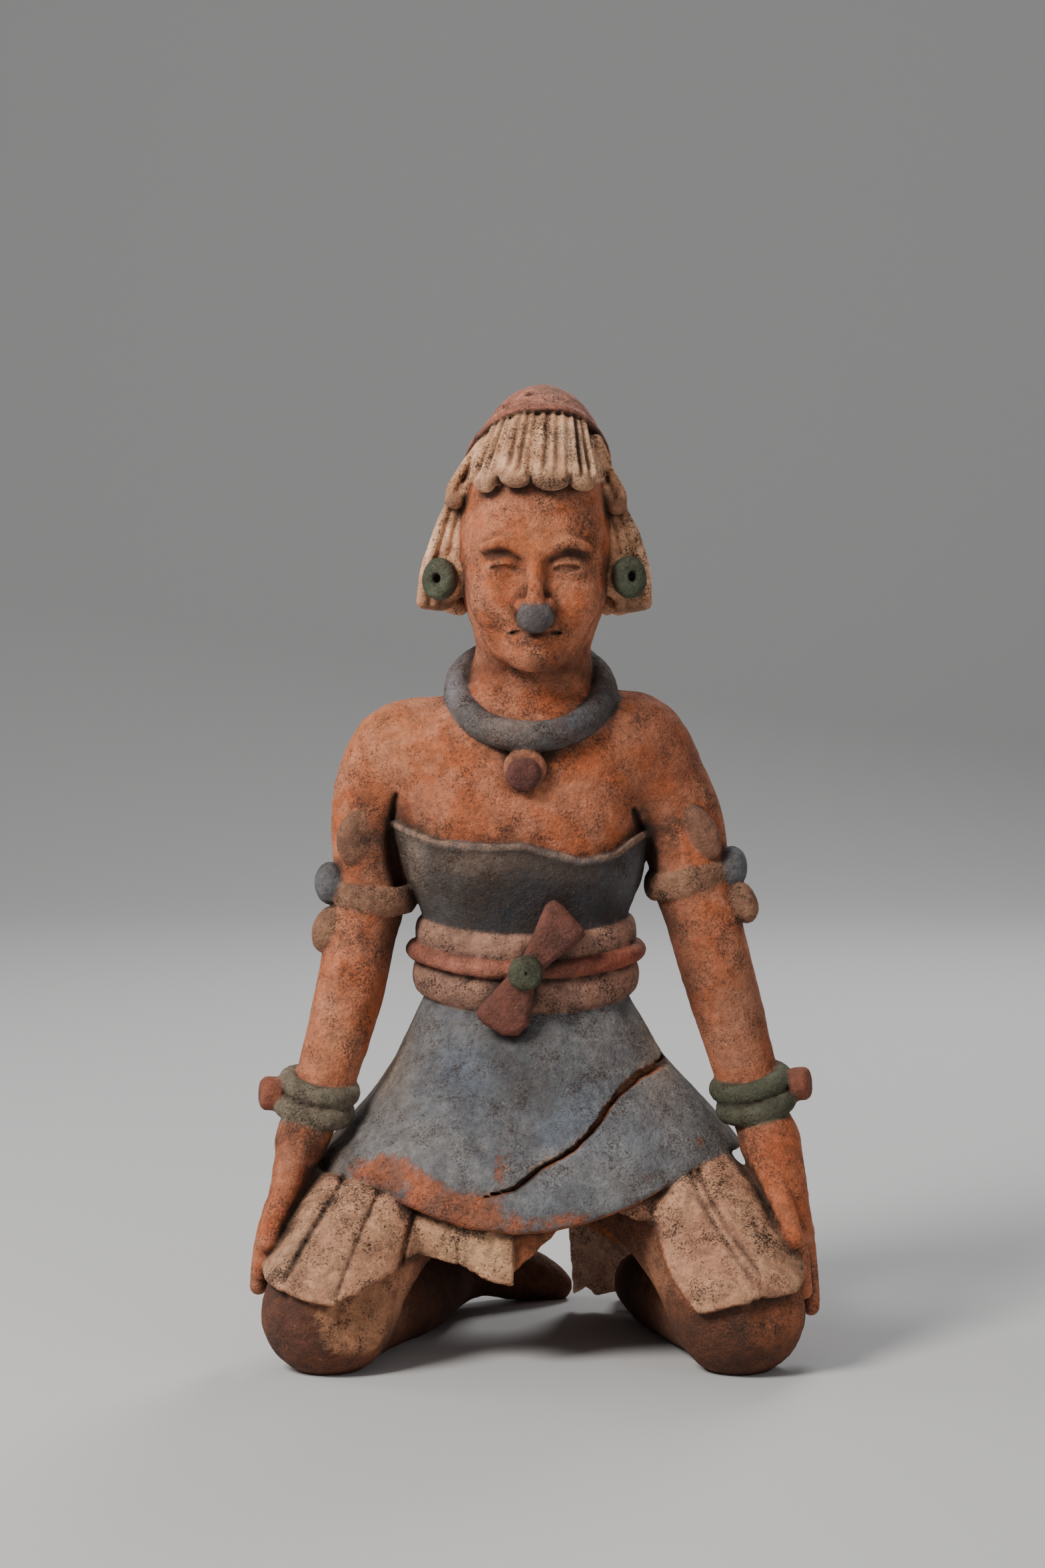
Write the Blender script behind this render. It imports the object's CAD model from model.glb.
import math
from functools import reduce
from itertools import product

import bmesh
import bpy
import numpy as np
from mathutils import Euler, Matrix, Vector


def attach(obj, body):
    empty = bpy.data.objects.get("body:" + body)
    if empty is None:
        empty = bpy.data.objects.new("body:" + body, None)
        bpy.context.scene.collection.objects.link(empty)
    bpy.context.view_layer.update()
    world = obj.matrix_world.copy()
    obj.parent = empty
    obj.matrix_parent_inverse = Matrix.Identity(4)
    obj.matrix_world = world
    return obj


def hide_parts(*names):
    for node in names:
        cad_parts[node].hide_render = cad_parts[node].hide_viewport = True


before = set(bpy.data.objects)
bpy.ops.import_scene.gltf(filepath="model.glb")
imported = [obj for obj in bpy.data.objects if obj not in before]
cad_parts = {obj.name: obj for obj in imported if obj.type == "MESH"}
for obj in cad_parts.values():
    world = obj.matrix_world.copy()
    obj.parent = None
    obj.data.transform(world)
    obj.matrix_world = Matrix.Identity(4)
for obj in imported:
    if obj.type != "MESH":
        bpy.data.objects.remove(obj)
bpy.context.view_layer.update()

MM = 0.001
ROW_SHIFT = np.array([0.0, 1.012, 0.0])
NODE = "kneeling_figure"
COARSE = 1.0
MOST_TRIANGLES = 192000
FAR = 8.0
REACH = 5.0
TINY = 1e-6
# Sides as seen from the front
LEFT = -1
RIGHT = 1

# Distance shapes


class Shape:
    """A solid as a signed distance in millimetres, and the box that holds it."""

    def __init__(self, low, high, distance):
        self.low = np.array(low, float)
        self.high = np.array(high, float)
        self.distance = distance


def blend_min(a, b, soft):
    if np.isscalar(soft) and soft <= 0:
        return np.minimum(a, b)
    h = np.maximum(soft - np.abs(a - b), 0) / soft
    return np.minimum(a, b) - h * h * (soft * 0.25)


def blend_max(a, b, soft):
    return -blend_min(-a, -b, soft)


def merged(shapes, soft=0.0):
    def distance(x, y, z):
        each = (shape.distance(x, y, z) for shape in shapes)
        return reduce(lambda a, b: blend_min(a, b, soft), each)

    low = np.min([s.low for s in shapes], axis=0)
    high = np.max([s.high for s in shapes], axis=0)
    return Shape(low, high, distance)


def trimmed(shape, outside, soft=0.5):
    """The part of a shape where the function "outside" is negative."""

    def distance(x, y, z):
        return blend_max(shape.distance(x, y, z), outside(x, y, z), soft)

    return Shape(shape.low, shape.high, distance)


def around(centre, reach, distance):
    """A shape that stays within "reach" of its centre."""
    return Shape(np.array(centre) - reach, np.array(centre) + reach, distance)


def rounded(out, over, edge):
    """A slab with round edges, from the distances beyond its outline and beyond its faces."""
    corner = np.sqrt(np.maximum(out, 0) ** 2 + np.maximum(over, 0) ** 2)
    return corner + np.minimum(np.maximum(out, over), 0) - edge


def along_axes(x, y, z, origin, axes):
    """How far a place lies from an origin along each axis."""
    dx, dy, dz = x - origin[0], y - origin[1], z - origin[2]
    return [dx * axis[0] + dy * axis[1] + dz * axis[2] for axis in axes]


def unit(vector):
    return np.array(vector, float) / np.linalg.norm(vector)


def grown(shape, amount):
    def distance(x, y, z):
        return shape.distance(x, y, z) - amount

    return Shape(shape.low - amount, shape.high + amount, distance)


def smooth_path(stations, steps, closed=False):
    """More stations along a smooth curve through the given ones."""
    rows = np.array(stations, float)
    count = len(rows)
    if steps <= 1:
        return rows
    path = []
    for i in range(count if closed else count - 1):
        near = [i - 1, i, i + 1, i + 2]
        near = [k % count if closed else min(max(k, 0), count - 1) for k in near]
        before, here, there, after = rows[near]
        slope_in = (there - before) / 2
        slope_out = (after - here) / 2
        for t in np.arange(steps) / steps:
            path.append(
                (2 * t**3 - 3 * t**2 + 1) * here
                + (t**3 - 2 * t**2 + t) * slope_in
                + (3 * t**2 - 2 * t**3) * there
                + (t**3 - t**2) * slope_out
            )
    path.append(path[0] if closed else rows[-1])
    return np.array(path)


def link(start, end, across):
    """One straight piece of a rope, oval in section, with round ends."""
    base = start[:3]
    length = max(float(np.linalg.norm(end[:3] - base)), TINY)
    along = (end[:3] - base) / length
    side = across - along * np.dot(across, along)
    side = side / np.linalg.norm(side)
    axes = (along, side, np.cross(along, side))

    def distance(x, y, z):
        run, p, q = along_axes(x, y, z, base, axes)
        t = np.clip(run / length, 0, 1)
        wide = start[3] + (end[3] - start[3]) * t
        deep = start[4] + (end[4] - start[4]) * t
        small = np.minimum(wide, deep)
        p, q, r = p / wide, q / deep, (run - t * length) / small
        near = np.sqrt(p * p + q * q + r * r + TINY)
        p, q, r = p / wide, q / deep, r / small
        slope = np.sqrt(p * p + q * q + r * r + TINY / (small * small))
        return near * (near - 1) / slope

    return distance


def chain(points, links):
    """A row of links through points as one shape."""
    reach = points[:, 3:].max(axis=1, keepdims=True)

    def distance(x, y, z):
        return reduce(np.minimum, (piece(x, y, z) for piece in links))

    return Shape((points[:, :3] - reach).min(0), (points[:, :3] + reach).max(0), distance)


def rope(stations, across=(1, 0, 0), steps=3, closed=False, grow=0.0):
    """A limb or coil through stations of x, y, z, radius across and radius the other way."""
    rows = [(list(s) + [s[3]])[:5] for s in stations]
    points = smooth_path(rows, steps, closed)
    points[:, 3:] += grow
    sides = np.array(across, float)
    return chain(points, [link(a, b, sides) for a, b in zip(points, points[1:])])


def turn_rows(turn):
    return np.array(Euler(turn, "ZYX").to_matrix().transposed())


def ball(centre, radii, turn=(0, 0, 0)):
    rows = turn_rows(turn)
    reach = np.sqrt(((rows.T * np.array(radii)) ** 2).sum(axis=1))

    def distance(x, y, z):
        near = TINY
        slope = TINY / min(radii) ** 2
        for p, radius in zip(along_axes(x, y, z, centre, rows), radii):
            p = p / radius
            near = near + p * p
            slope = slope + (p / radius) ** 2
        near = np.sqrt(near)
        return near * (near - 1) / np.sqrt(slope)

    return around(centre, reach, distance)


def disc(centre, facing, radius, thickness, edge, squash=1.0, bore=0.0):
    """A thick round plate with rounded edges, "squash" times as wide as tall."""
    axis = unit(facing)
    side = unit(np.cross(axis, (0, 0, 1.0)))
    axes = (axis, side, np.cross(side, axis))

    def distance(x, y, z):
        h, p, q = along_axes(x, y, z, centre, axes)
        r = np.sqrt((p / squash) ** 2 + q * q)
        body = rounded(r - (radius - edge), np.abs(h) - (thickness / 2 - edge), edge)
        if bore <= 0:
            return body
        hole = blend_max(r - bore, -h - thickness * 0.1, 0.5)
        return blend_max(body, -hole, 0.8)

    return around(centre, math.hypot(radius, thickness), distance)


TOWER_STEPS = 12


def tower(rows, power=2.3, soft=1.0):
    """A body given by oval sections: height, half width, front depth, back depth, centre x."""
    ovals = [(z, w, (f + b) / 2, (b - f) / 2, x) for z, w, f, b, x in rows]
    fine = smooth_path(sorted(ovals), TOWER_STEPS)
    heights, values = fine[:, 0], fine[:, 1:].T
    slopes = np.gradient(fine[:, 1:], heights, axis=0).T

    def distance(x, y, z):
        wide, deep, middle_y, middle_x = (read_line(z, heights, row) for row in values)
        wide_slope, deep_slope, y_slope, x_slope = (read_line(z, heights, row) for row in slopes)
        u = (x - middle_x) / wide
        v = (y - middle_y) / deep
        near = (np.abs(u) ** power + np.abs(v) ** power + TINY) ** (1 / power)
        pu = (np.abs(u) / near) ** (power - 1)
        pv = (np.abs(v) / near) ** (power - 1)
        slope_u = (wide_slope * np.abs(u) + np.sign(u) * x_slope) / wide
        slope_v = (deep_slope * np.abs(v) + np.sign(v) * y_slope) / deep
        slope = np.sqrt((pu / wide) ** 2 + (pv / deep) ** 2 + (pu * slope_u + pv * slope_v) ** 2)
        ends = np.maximum(heights[0] - z, z - heights[-1])
        return blend_max((near - 1) / slope, ends, soft)

    wide = np.abs(values[3]).max() + values[0].max()
    front = (values[2] - values[1]).min()
    back = (values[2] + values[1]).max()
    return Shape((-wide, front, heights[0]), (wide, back, heights[-1]), distance)


def plate(outline, origin, right, up, thickness, edge):
    """A flat tongue of clay with a rounded outline, given by corners in its own plane."""
    corners = np.array(outline, float)
    side, rise = unit(right), unit(up)
    axes = (side, rise, np.cross(side, rise))

    def distance(x, y, z):
        p, q, h = along_axes(x, y, z, origin, axes)
        over = np.abs(h) - (thickness / 2 - edge)
        return rounded(polygon_distance(p, q, corners) + edge, over, edge)

    return around(origin, np.linalg.norm(corners, axis=1).max() + thickness, distance)


def from_segment(p, q, start, end):
    """Squared distance in a plane to a straight line, and how far along it the nearest point is."""
    (ax, ay), (bx, by) = start, end
    ex, ey = bx - ax, by - ay
    wx, wy = p - ax, q - ay
    t = np.clip((wx * ex + wy * ey) / (ex * ex + ey * ey), 0, 1)
    return (wx - ex * t) ** 2 + (wy - ey * t) ** 2, t


def polygon_distance(p, q, corners):
    nearest = np.inf
    inside = np.zeros(np.broadcast(p, q).shape, bool)
    for (ax, ay), (bx, by) in zip(corners, np.roll(corners, -1, axis=0)):
        nearest = np.minimum(nearest, from_segment(p, q, (ax, ay), (bx, by))[0])
        if by != ay:
            inside ^= ((ay > q) != (by > q)) & (p < (bx - ax) * (q - ay) / (by - ay) + ax)
    return np.where(inside, -1, 1) * np.sqrt(nearest)


def line_distance(p, q, points):
    """Distance in a plane to a line of corners, and how far along it the nearest point is."""
    nearest, place = np.inf, 0
    last = len(points) - 1
    for i in range(last):
        squared, t = from_segment(p, q, points[i], points[i + 1])
        gap = np.sqrt(squared)
        place = np.where(gap < nearest, (i + t) / last, place)
        nearest = np.minimum(nearest, gap)
    return nearest, place


def half_space(point, normal):
    """Positive on the side that the normal points to."""
    axes = [unit(normal)]
    return lambda x, y, z: along_axes(x, y, z, point, axes)[0]


def ease(value, start, end):
    t = np.clip((value - start) / (end - start), 0, 1)
    return t * t * (3 - 2 * t)


def read_line(at, places, values):
    flat = np.interp(np.ravel(at), places, values)
    return flat.reshape(np.shape(at)).astype(np.float32)


# Smooth seeded noise
NOISE_SIZE = 4096
NOISE_SEED = 7
NOISE_TABLE = np.random.RandomState(NOISE_SEED).rand(NOISE_SIZE).astype(np.float32) * 2 - 1
# Large odd numbers that scatter neighbouring cells over the table
SCATTER = (73856093, 19349663, 83492791)
SEED_SHIFT = 31.7
Y_SHIFT = 17.3
Z_SHIFT = 5.1


def lattice(*cell):
    i, j, k = (number * factor for number, factor in zip(cell, SCATTER))
    return NOISE_TABLE[(i ^ j ^ k) & (NOISE_SIZE - 1)]


def cell_corners(shares):
    """The eight corners of a cell, and the weight of each for a place inside it."""
    for corner in product((0, 1), repeat=3):
        weight = 1
        for share, k in zip(shares, corner):
            weight = weight * (share if k else 1 - share)
        yield corner, weight


def noise(x, y, z, size, seed=0):
    """Smooth noise from -1 to 1, with lumps of about "size" millimetres."""
    places = (x / size + SEED_SHIFT * seed, y / size + Y_SHIFT, z / size + Z_SHIFT)
    cells = [np.floor(v).astype(np.int64) for v in places]
    shares = [v - cell for v, cell in zip(places, cells)]
    total = 0
    for corner, weight in cell_corners([v * v * (3 - 2 * v) for v in shares]):
        total = total + weight * lattice(*(cell + k for cell, k in zip(cells, corner)))
    return total


def layered(x, y, z, layers):
    """Noise added up from layers of amount, size and seed."""
    return sum(amount * noise(x, y, z, size, seed) for amount, size, seed in layers)


# The field that gathers every form


def grid_lines(stops):
    lines = []
    for (start, step), (end, _) in zip(stops, stops[1:]):
        count = max(int(round((end - start) / (step * COARSE))), 2)
        lines.extend(np.linspace(start, end, count, endpoint=False))
    lines.append(stops[-1][0])
    return np.array(lines, np.float32)


AXES = (
    grid_lines([(-83, 0.75), (-36, 0.5), (-17, 0.42), (17, 0.5), (36, 0.75), (85, 0)]),
    grid_lines([(-70, 0.7), (-36, 0.45), (-18, 0.6), (0, 0.8), (66, 0)]),
    grid_lines([(-2, 0.7), (190, 0.45), (231, 0.55), (272, 0)]),
)


class Field:
    def __init__(self):
        self.values = np.full([len(a) for a in AXES], FAR, np.float32)
        self.parts = []

    def window(self, low, high):
        spans = []
        for axis, a, b in zip(AXES, low, high):
            start = int(np.searchsorted(axis, a)) - 1
            stop = int(np.searchsorted(axis, b)) + 1
            spans.append(slice(max(start, 0), max(stop, 1)))
        return tuple(spans)

    def grid(self, window):
        shapes = ((-1, 1, 1), (1, -1, 1), (1, 1, -1))
        return [a[s].reshape(shape) for a, s, shape in zip(AXES, window, shapes)]

    def add(self, shape, paint, soft=0.6):
        pad = REACH + (REACH if callable(soft) else soft)
        window = self.window(shape.low - pad, shape.high + pad)
        place = self.grid(window)
        softness = soft(*place) if callable(soft) else soft
        self.values[window] = blend_min(self.values[window], shape.distance(*place), softness)
        self.parts.append((paint, shape))

    def cut(self, shape, soft=0.4):
        window = self.window(shape.low - 2, shape.high + 2)
        values = shape.distance(*self.grid(window))
        self.values[window] = blend_max(self.values[window], -values, soft)

    def press(self, low, high, depth_at):
        """Lowers the surface inside a box by a depth that depends on the place."""
        window = self.window(np.array(low), np.array(high))
        self.values[window] += depth_at(*self.grid(window)).astype(np.float32)

    def read(self, points):
        """The field at any points, between its grid lines."""
        corners, shares = [], []
        for axis, value in zip(AXES, points.T):
            i = np.clip(np.searchsorted(axis, value) - 1, 0, len(axis) - 2)
            corners.append(i)
            shares.append(np.clip((value - axis[i]) / (axis[i + 1] - axis[i]), 0, 1))
        total = 0
        for corner, weight in cell_corners(shares):
            place = tuple(i + k for i, k in zip(corners, corner))
            total = total + weight * self.values[place]
        return total


# Body: height, half width, depth to the front, depth to the back, centre x
TORSO = [
    (84, 27, 19, 19, -2),
    (97, 28.5, 20, 19, -2),
    (112, 28, 20, 18, -2),
    (121, 27.6, 20, 18, -2.2),
    (133, 32, 23, 20, -2.5),
    (145, 34.5, 25, 22, -3.5),
    (154, 36, 25, 23, -4),
    (163, 38.4, 23.5, 23, -4),
    (171, 36.5, 20.5, 22, -4),
    (178, 29.5, 17.5, 20, -3),
    (184, 20.6, 15, 18, -1.5),
    (190, 16.8, 13.6, 17, -0.5),
    (200, 15.5, 14, 16, 0),
    (208, 15, 12, 15, 0),
]
HEAD = [
    (191.2, 5.6, 22.6, -8, 0.5),
    (194, 10.2, 25.4, 0, 0.5),
    (197, 13.4, 26.6, 8, 0.5),
    (201, 16.4, 27.4, 14, 0.5),
    (208, 19.2, 28, 19, 0.5),
    (216, 20.8, 28, 22, 0.5),
    (224, 21.4, 27.6, 24, 0.5),
    (232, 21.2, 27.2, 25, 0.5),
    (242, 20.3, 25.6, 25, 0.8),
    (250, 18.4, 22.4, 23.5, 1.2),
    (257, 15, 17.5, 20, 1.6),
    (263, 9.5, 11, 13, 2),
]
ARMS = {
    LEFT: [
        (-33, 2.5, 168, 12, 13.5),
        (-38.5, 2, 166.5, 13.4, 13.6),
        (-44.3, 1, 155, 12, 12.4),
        (-46.4, 0, 143, 10.6, 11.4),
        (-45.6, -2, 129, 10.4, 11),
        (-48.2, -4, 117, 10, 10.4),
        (-51.4, -8, 101, 9.5, 9.8),
        (-57.2, -13, 79, 8.6, 8.8),
        (-61, -17, 69, 7.8, 8.4),
        (-64.5, -20.5, 60, 6.6, 8.8),
    ],
    RIGHT: [
        (25, 2.5, 170, 12, 13.5),
        (30, 2, 169, 13.6, 13.6),
        (37.5, 1, 157, 12.2, 12.6),
        (42.5, 0, 145, 11.6, 11.6),
        (44.2, -2, 133, 11.4, 11.2),
        (47.8, -4, 121, 10.7, 10.6),
        (53.1, -8, 101, 10, 9.8),
        (59.7, -13, 78, 8.8, 8.8),
        (62.6, -17, 69, 8.2, 8.6),
        (65.4, -20.5, 60, 7.2, 9),
    ],
}


def softer_above(low, high, soft_low, soft_high):
    return lambda x, y, z: soft_low + (soft_high - soft_low) * ease(z, low, high)


ARMPITS = {
    LEFT: [
        (-38.2, -13, 155.8, 0.3, 2.0),
        (-39.3, -12, 149, 0.8, 4.5),
        (-39.8, -11, 142, 1.4, 6),
        (-38.6, -9, 135, 1.9, 7),
        (-37.0, -8, 129, 1.9, 7),
    ],
    RIGHT: [
        (27.8, -13, 151.6, 0.3, 2.0),
        (29.6, -12, 146.5, 0.8, 4.5),
        (31.4, -11, 141, 1.3, 6),
        (32.4, -9, 135, 1.8, 7),
        (32.8, -8, 129, 1.8, 7),
    ],
}


def head():
    return tower(HEAD, 2.25, 3.0)


def make_body(field):
    field.add(tower(TORSO), "skin")
    field.add(head(), "skin", 5.0)
    for side in (LEFT, RIGHT):
        field.add(rope(ARMS[side], steps=3), "skin", softer_above(126, 150, 0.8, 7.0))
        field.cut(rope(ARMPITS[side]), 1.8)


# Face: brow, nose base and chin a third of the face apart, eyes one eye width apart
HAIRLINE = 241.0
CHIN = 191.0
THIRD = (HAIRLINE - CHIN) / 3
BROW = HAIRLINE - THIRD
NOSE_BASE = BROW - THIRD
EYE_Z = BROW - 0.27 * THIRD
MOUTH_Z = NOSE_BASE - THIRD * 0.36
FACE_X = 0.5
FACE_Y = -27.6
EYE_GAP = 8.6


def between_lids(side):
    """Positive in the half closed, almond shaped opening between the lids."""
    middle = FACE_X + side * EYE_GAP
    upper = (middle + side * 0.2, EYE_Z - 7.4)
    lower = (middle - side * 0.2, EYE_Z + 6.6)

    def opening(x, y, z):
        under_lid = np.sqrt((x - upper[0]) ** 2 + (z - upper[1]) ** 2) - 8.1
        over_lid = np.sqrt((x - lower[0]) ** 2 + (z - lower[1]) ** 2) - 8.3
        return -np.maximum(under_lid, over_lid) + 0 * y

    return opening


def make_eyes(field):
    for side in (LEFT, RIGHT):
        x = FACE_X + side * EYE_GAP
        socket_place = (x + side * 0.4, FACE_Y - 2.2, EYE_Z + 0.4)
        field.cut(ball(socket_place, (7.4, 4.0, 4.9), (0, 0, side * 0.22)), 3.2)
        lid_ball = ball((x, FACE_Y + 4.9, EYE_Z - 0.2), (6.2, 5.0, 4.3), (0, 0, side * 0.2))
        lids = trimmed(lid_ball, between_lids(side), 0.25)
        eyeball = ball((x, FACE_Y + 5.0, EYE_Z - 0.2), (5.3, 4.05, 3.8), (0, 0, side * 0.2))
        field.add(eyeball, "skin", 0.2)
        field.add(lids, "skin", 0.9)
        crease = [
            (x - side * 4.6, FACE_Y + 1.2, EYE_Z + 2.0, 0.4),
            (x - side * 0.4, FACE_Y - 0.3, EYE_Z + 4.0, 0.45),
            (x + side * 4.6, FACE_Y + 2.4, EYE_Z + 2.1, 0.4),
        ]
        field.cut(rope(crease), 0.9)
        brow = [
            (x - side * 5.0, FACE_Y - 0.3, BROW + 0.4, 1.2),
            (x + side * 0.6, FACE_Y - 0.2, BROW + 2.3, 1.3),
            (x + side * 6.2, FACE_Y + 3.2, BROW + 0.6, 1.0),
        ]
        field.add(rope(brow, steps=4), "skin", 3.6)


def on_face(across, out, z, *sizes):
    return (FACE_X + across, FACE_Y + out, z, *sizes)


def make_nose(field):
    bridge = [
        on_face(0, 0.4, BROW + 0.2, 1.7),
        on_face(0, -1.2, EYE_Z - 1.0, 1.7),
        on_face(0, -3.2, NOSE_BASE + 6.2, 2.1),
        on_face(0, -4.6, NOSE_BASE + 2.6, 2.8),
    ]
    field.add(rope(bridge), "skin", 3.2)
    for side in (LEFT, RIGHT):
        wing = ball(on_face(side * 3.5, -1.9, NOSE_BASE + 1.7), (2.2, 2.9, 2.1))
        field.add(wing, "skin", 1.3)
        field.cut(ball(on_face(side * 1.9, -4.4, NOSE_BASE - 0.5), (1.0, 1.4, 1.0)), 0.6)
        cheek = ball(on_face(side * 10.8, 6.0, NOSE_BASE + 2.6), (6.6, 5.4, 6.2))
        field.add(cheek, "skin", 5.0)


def make_mouth(field):
    field.add(ball(on_face(0, 5.2, MOUTH_Z - 0.2), (8.6, 5.9, 5.4)), "skin", 4.0)
    for side in (LEFT, RIGHT):
        upper = [
            on_face(0, -1.0, MOUTH_Z + 1.3, 1.15, 1.1),
            on_face(side * 2.0, -1.0, MOUTH_Z + 1.7, 1.15, 1.15),
            on_face(side * 6.3, 1.4, MOUTH_Z + 0.2, 0.7, 0.6),
        ]
        field.add(rope(upper, (0, 1, 0)), "skin", 0.8)
    lower = [
        on_face(-5.4, 1.2, MOUTH_Z - 0.7, 0.8),
        on_face(0, -1.0, MOUTH_Z - 1.7, 1.5),
        on_face(5.4, 1.2, MOUTH_Z - 0.7, 0.8),
    ]
    field.add(rope(lower, steps=4), "skin", 0.9)
    line = [
        on_face(-6.9, 1.2, MOUTH_Z, 0.4),
        on_face(-2.4, -2.0, MOUTH_Z + 0.25, 0.5),
        on_face(0, -2.1, MOUTH_Z - 0.1, 0.5),
        on_face(2.4, -2.0, MOUTH_Z + 0.25, 0.5),
        on_face(6.9, 1.2, MOUTH_Z, 0.4),
    ]
    field.cut(rope(line), 0.6)
    field.cut(ball(on_face(0, -2.2, MOUTH_Z - 5.0), (5.2, 1.7, 1.5)), 2.2)
    field.add(ball(on_face(0, 4.0, CHIN + 4.6), (6.6, 4.6, 4.6)), "skin", 3.6)
    field.add(ball(on_face(0, -4.7, NOSE_BASE - 1.4), (5.2, 4.5, 4.5)), "nose_bead", 0.3)


# Head dress
CAP_CENTRE = (2.4, 0.4, 243)
CAP_RADII = (18.6, 27.2, 27)
# The cap's lower edge: a point on it, and how much it falls towards the back
CAP_EDGE_Y = -2
CAP_EDGE_Z = 252.5
CAP_SLOPE = 0.66
# Lobes of the fringe: from x, to x, and how far the tip hangs below FRINGE_TIP
FRINGE = ((-16.9, -9.7, 1.0), (-9.4, -0.9, -0.4), (-0.4, 9.8, 0.1), (10.0, 16.9, 0.3))
FRINGE_NARROW = 0.735
FRINGE_TIP = 243.8
FRINGE_STEPS = 6
STRANDS = 3
# The fringe's upper edge under the cap: its height in the middle, and how it curves down
FRINGE_TOP = 263.6
FRINGE_CURVE = 0.0212


def cap_edge(x, y, z):
    """Positive above the cap's sloping lower edge."""
    wander = 0.5 * np.sin(x * 0.33 + 1.0)
    rise = z - CAP_EDGE_Z + CAP_SLOPE * (y - CAP_EDGE_Y) + wander
    return rise / math.hypot(1, CAP_SLOPE)


def under_rim(x, y, z):
    """The depth of a groove below the cap's rim."""
    return 1.1 * np.exp(-(((cap_edge(x, y, z) + 0.45) / 0.5) ** 2)) + 0 * x


def make_cap(field):
    field.press((-28, -32, 230), (32, 36, 268), under_rim)
    skull = grown(head(), 1.0)
    dome = merged([ball(CAP_CENTRE, CAP_RADII), skull], 1.5)
    low = trimmed(dome, lambda x, y, z: -cap_edge(x, y, z), 1.2)
    rim = trimmed(grown(dome, 0.8), lambda x, y, z: np.abs(cap_edge(x, y, z) - 1.1) - 1.3, 1.0)
    field.add(low, "cap", 0.1)
    field.add(rim, "cap", 1.2)
    field.cut(ball((-1, -9.6, 267.2), (1.3, 1.6, 0.9), (0.3, 0, 0.4)), 0.8)


def fringe_place(x, t, tip):
    """On the brow, from under the cap's rim (t = 0) to the tip of the fringe (t = 1)."""
    at_x = (1 - t) * (2.0 + FRINGE_NARROW * x) + t * x
    top = FRINGE_TOP - FRINGE_CURVE * (at_x - CAP_CENTRE[0]) ** 2
    z = top + (tip - top) * t
    u = abs(at_x - CAP_CENTRE[0]) / (CAP_RADII[0] + 4.6 * t)
    w = max(z - CAP_CENTRE[2], 0) / CAP_RADII[2]
    room = max(1 - u ** (2 + 0.6 * t) - w * w, 0.03)
    y = CAP_CENTRE[1] - CAP_RADII[1] * math.sqrt(room) + 3.4 - 5.0 * t**0.7
    return at_x, y, z


def fringe_rope(x, tip, half, depth_at, slope):
    stations = []
    for i in range(FRINGE_STEPS + 1):
        t = i / FRINGE_STEPS
        place = fringe_place(x, t, tip)
        narrow = FRINGE_NARROW + (1 - FRINGE_NARROW) * t
        stations.append((*place, half * narrow, depth_at(t)))
    return rope(stations, (1, slope, 0), 2)


def fringe_lock(low, high, tip):
    """A rounded lobe with three strands on its face."""
    middle, half = (low + high) / 2, (high - low) / 2
    slope = (fringe_place(high, 1, tip)[1] - fringe_place(low, 1, tip)[1]) / (high - low)
    lobe = fringe_rope(middle, tip - 0.1, half + 0.2, lambda t: 0.8 + 0.7 * t + 1.3 * t**8, slope)
    pieces = [lobe]
    for i in range(STRANDS):
        x = low + half * (2 * i + 1) / STRANDS
        wide = half / STRANDS * (1.04 + 0.1 * math.sin(3.7 * x))
        end = tip + 0.3 + 0.5 * abs(i - 1) + 0.3 * math.sin(5.3 * x)
        pieces.append(fringe_rope(x, end, wide, lambda t: 1.6 + 1.4 * t, slope))
    return merged(pieces, 0.22)


def make_fringe(field):
    scalp = grown(head(), 0.6)
    field.add(trimmed(scalp, lambda x, y, z: 242.8 - z + 0 * y, 0.8), "hair", 0.3)
    dome = ball(CAP_CENTRE, np.array(CAP_RADII) - (0.9, 1.6, 1.2))
    field.add(trimmed(dome, lambda x, y, z: np.maximum(FRINGE_TIP - z, y + 4), 0.6), "hair", 0.3)
    for low, high, drop in FRINGE:
        field.add(fringe_lock(low, high, FRINGE_TIP - drop), "hair", 0.15)
    for (_, high, _), (low, _, _) in zip(FRINGE, FRINGE[1:]):
        between = fringe_rope((low + high) / 2, 245.6, 1.2, lambda t: 0.8 + 1.1 * t, 0.0)
        field.add(between, "hair", 0.2)


# Side hair: the y of both borders' stations in each tier, and their x and z: outer, then inner
SIDE_DEPTHS = ((-4.6, -7.4, -9.4, -10.6, -11.2), (-6.0, -6.8, -7.2, -7.0, -6.4))
SIDE_TIERS = {
    LEFT: (
        (
            ((-15.4, 254.2), (-18.4, 249.6), (-21.8, 245.0), (-24.2, 241.2), (-24.6, 238.0)),
            ((-10.4, 254.2), (-13.4, 249.6), (-16.0, 244.4), (-17.6, 240.2), (-19.2, 238.0)),
        ),
        (
            ((-22.6, 240.0), (-26.0, 233.6), (-29.4, 224.8), (-31.8, 216.8), (-32.4, 209.6)),
            ((-16.6, 240.0), (-18.4, 233.6), (-19.6, 224.8), (-20.6, 216.8), (-22.4, 209.0)),
        ),
    ),
    RIGHT: (
        (
            ((19.6, 254.0), (21.4, 249.0), (23.4, 244.0), (25.8, 240.0), (26.0, 236.4)),
            ((14.2, 254.0), (16.2, 249.0), (17.6, 243.6), (19.2, 239.2), (20.4, 236.4)),
        ),
        (
            ((24.0, 239.0), (26.8, 233.6), (30.6, 225.2), (32.8, 217.4), (33.2, 209.4)),
            ((17.6, 239.0), (18.6, 233.6), (20.0, 225.2), (21.2, 217.4), (22.8, 207.8)),
        ),
    ),
}


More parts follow.
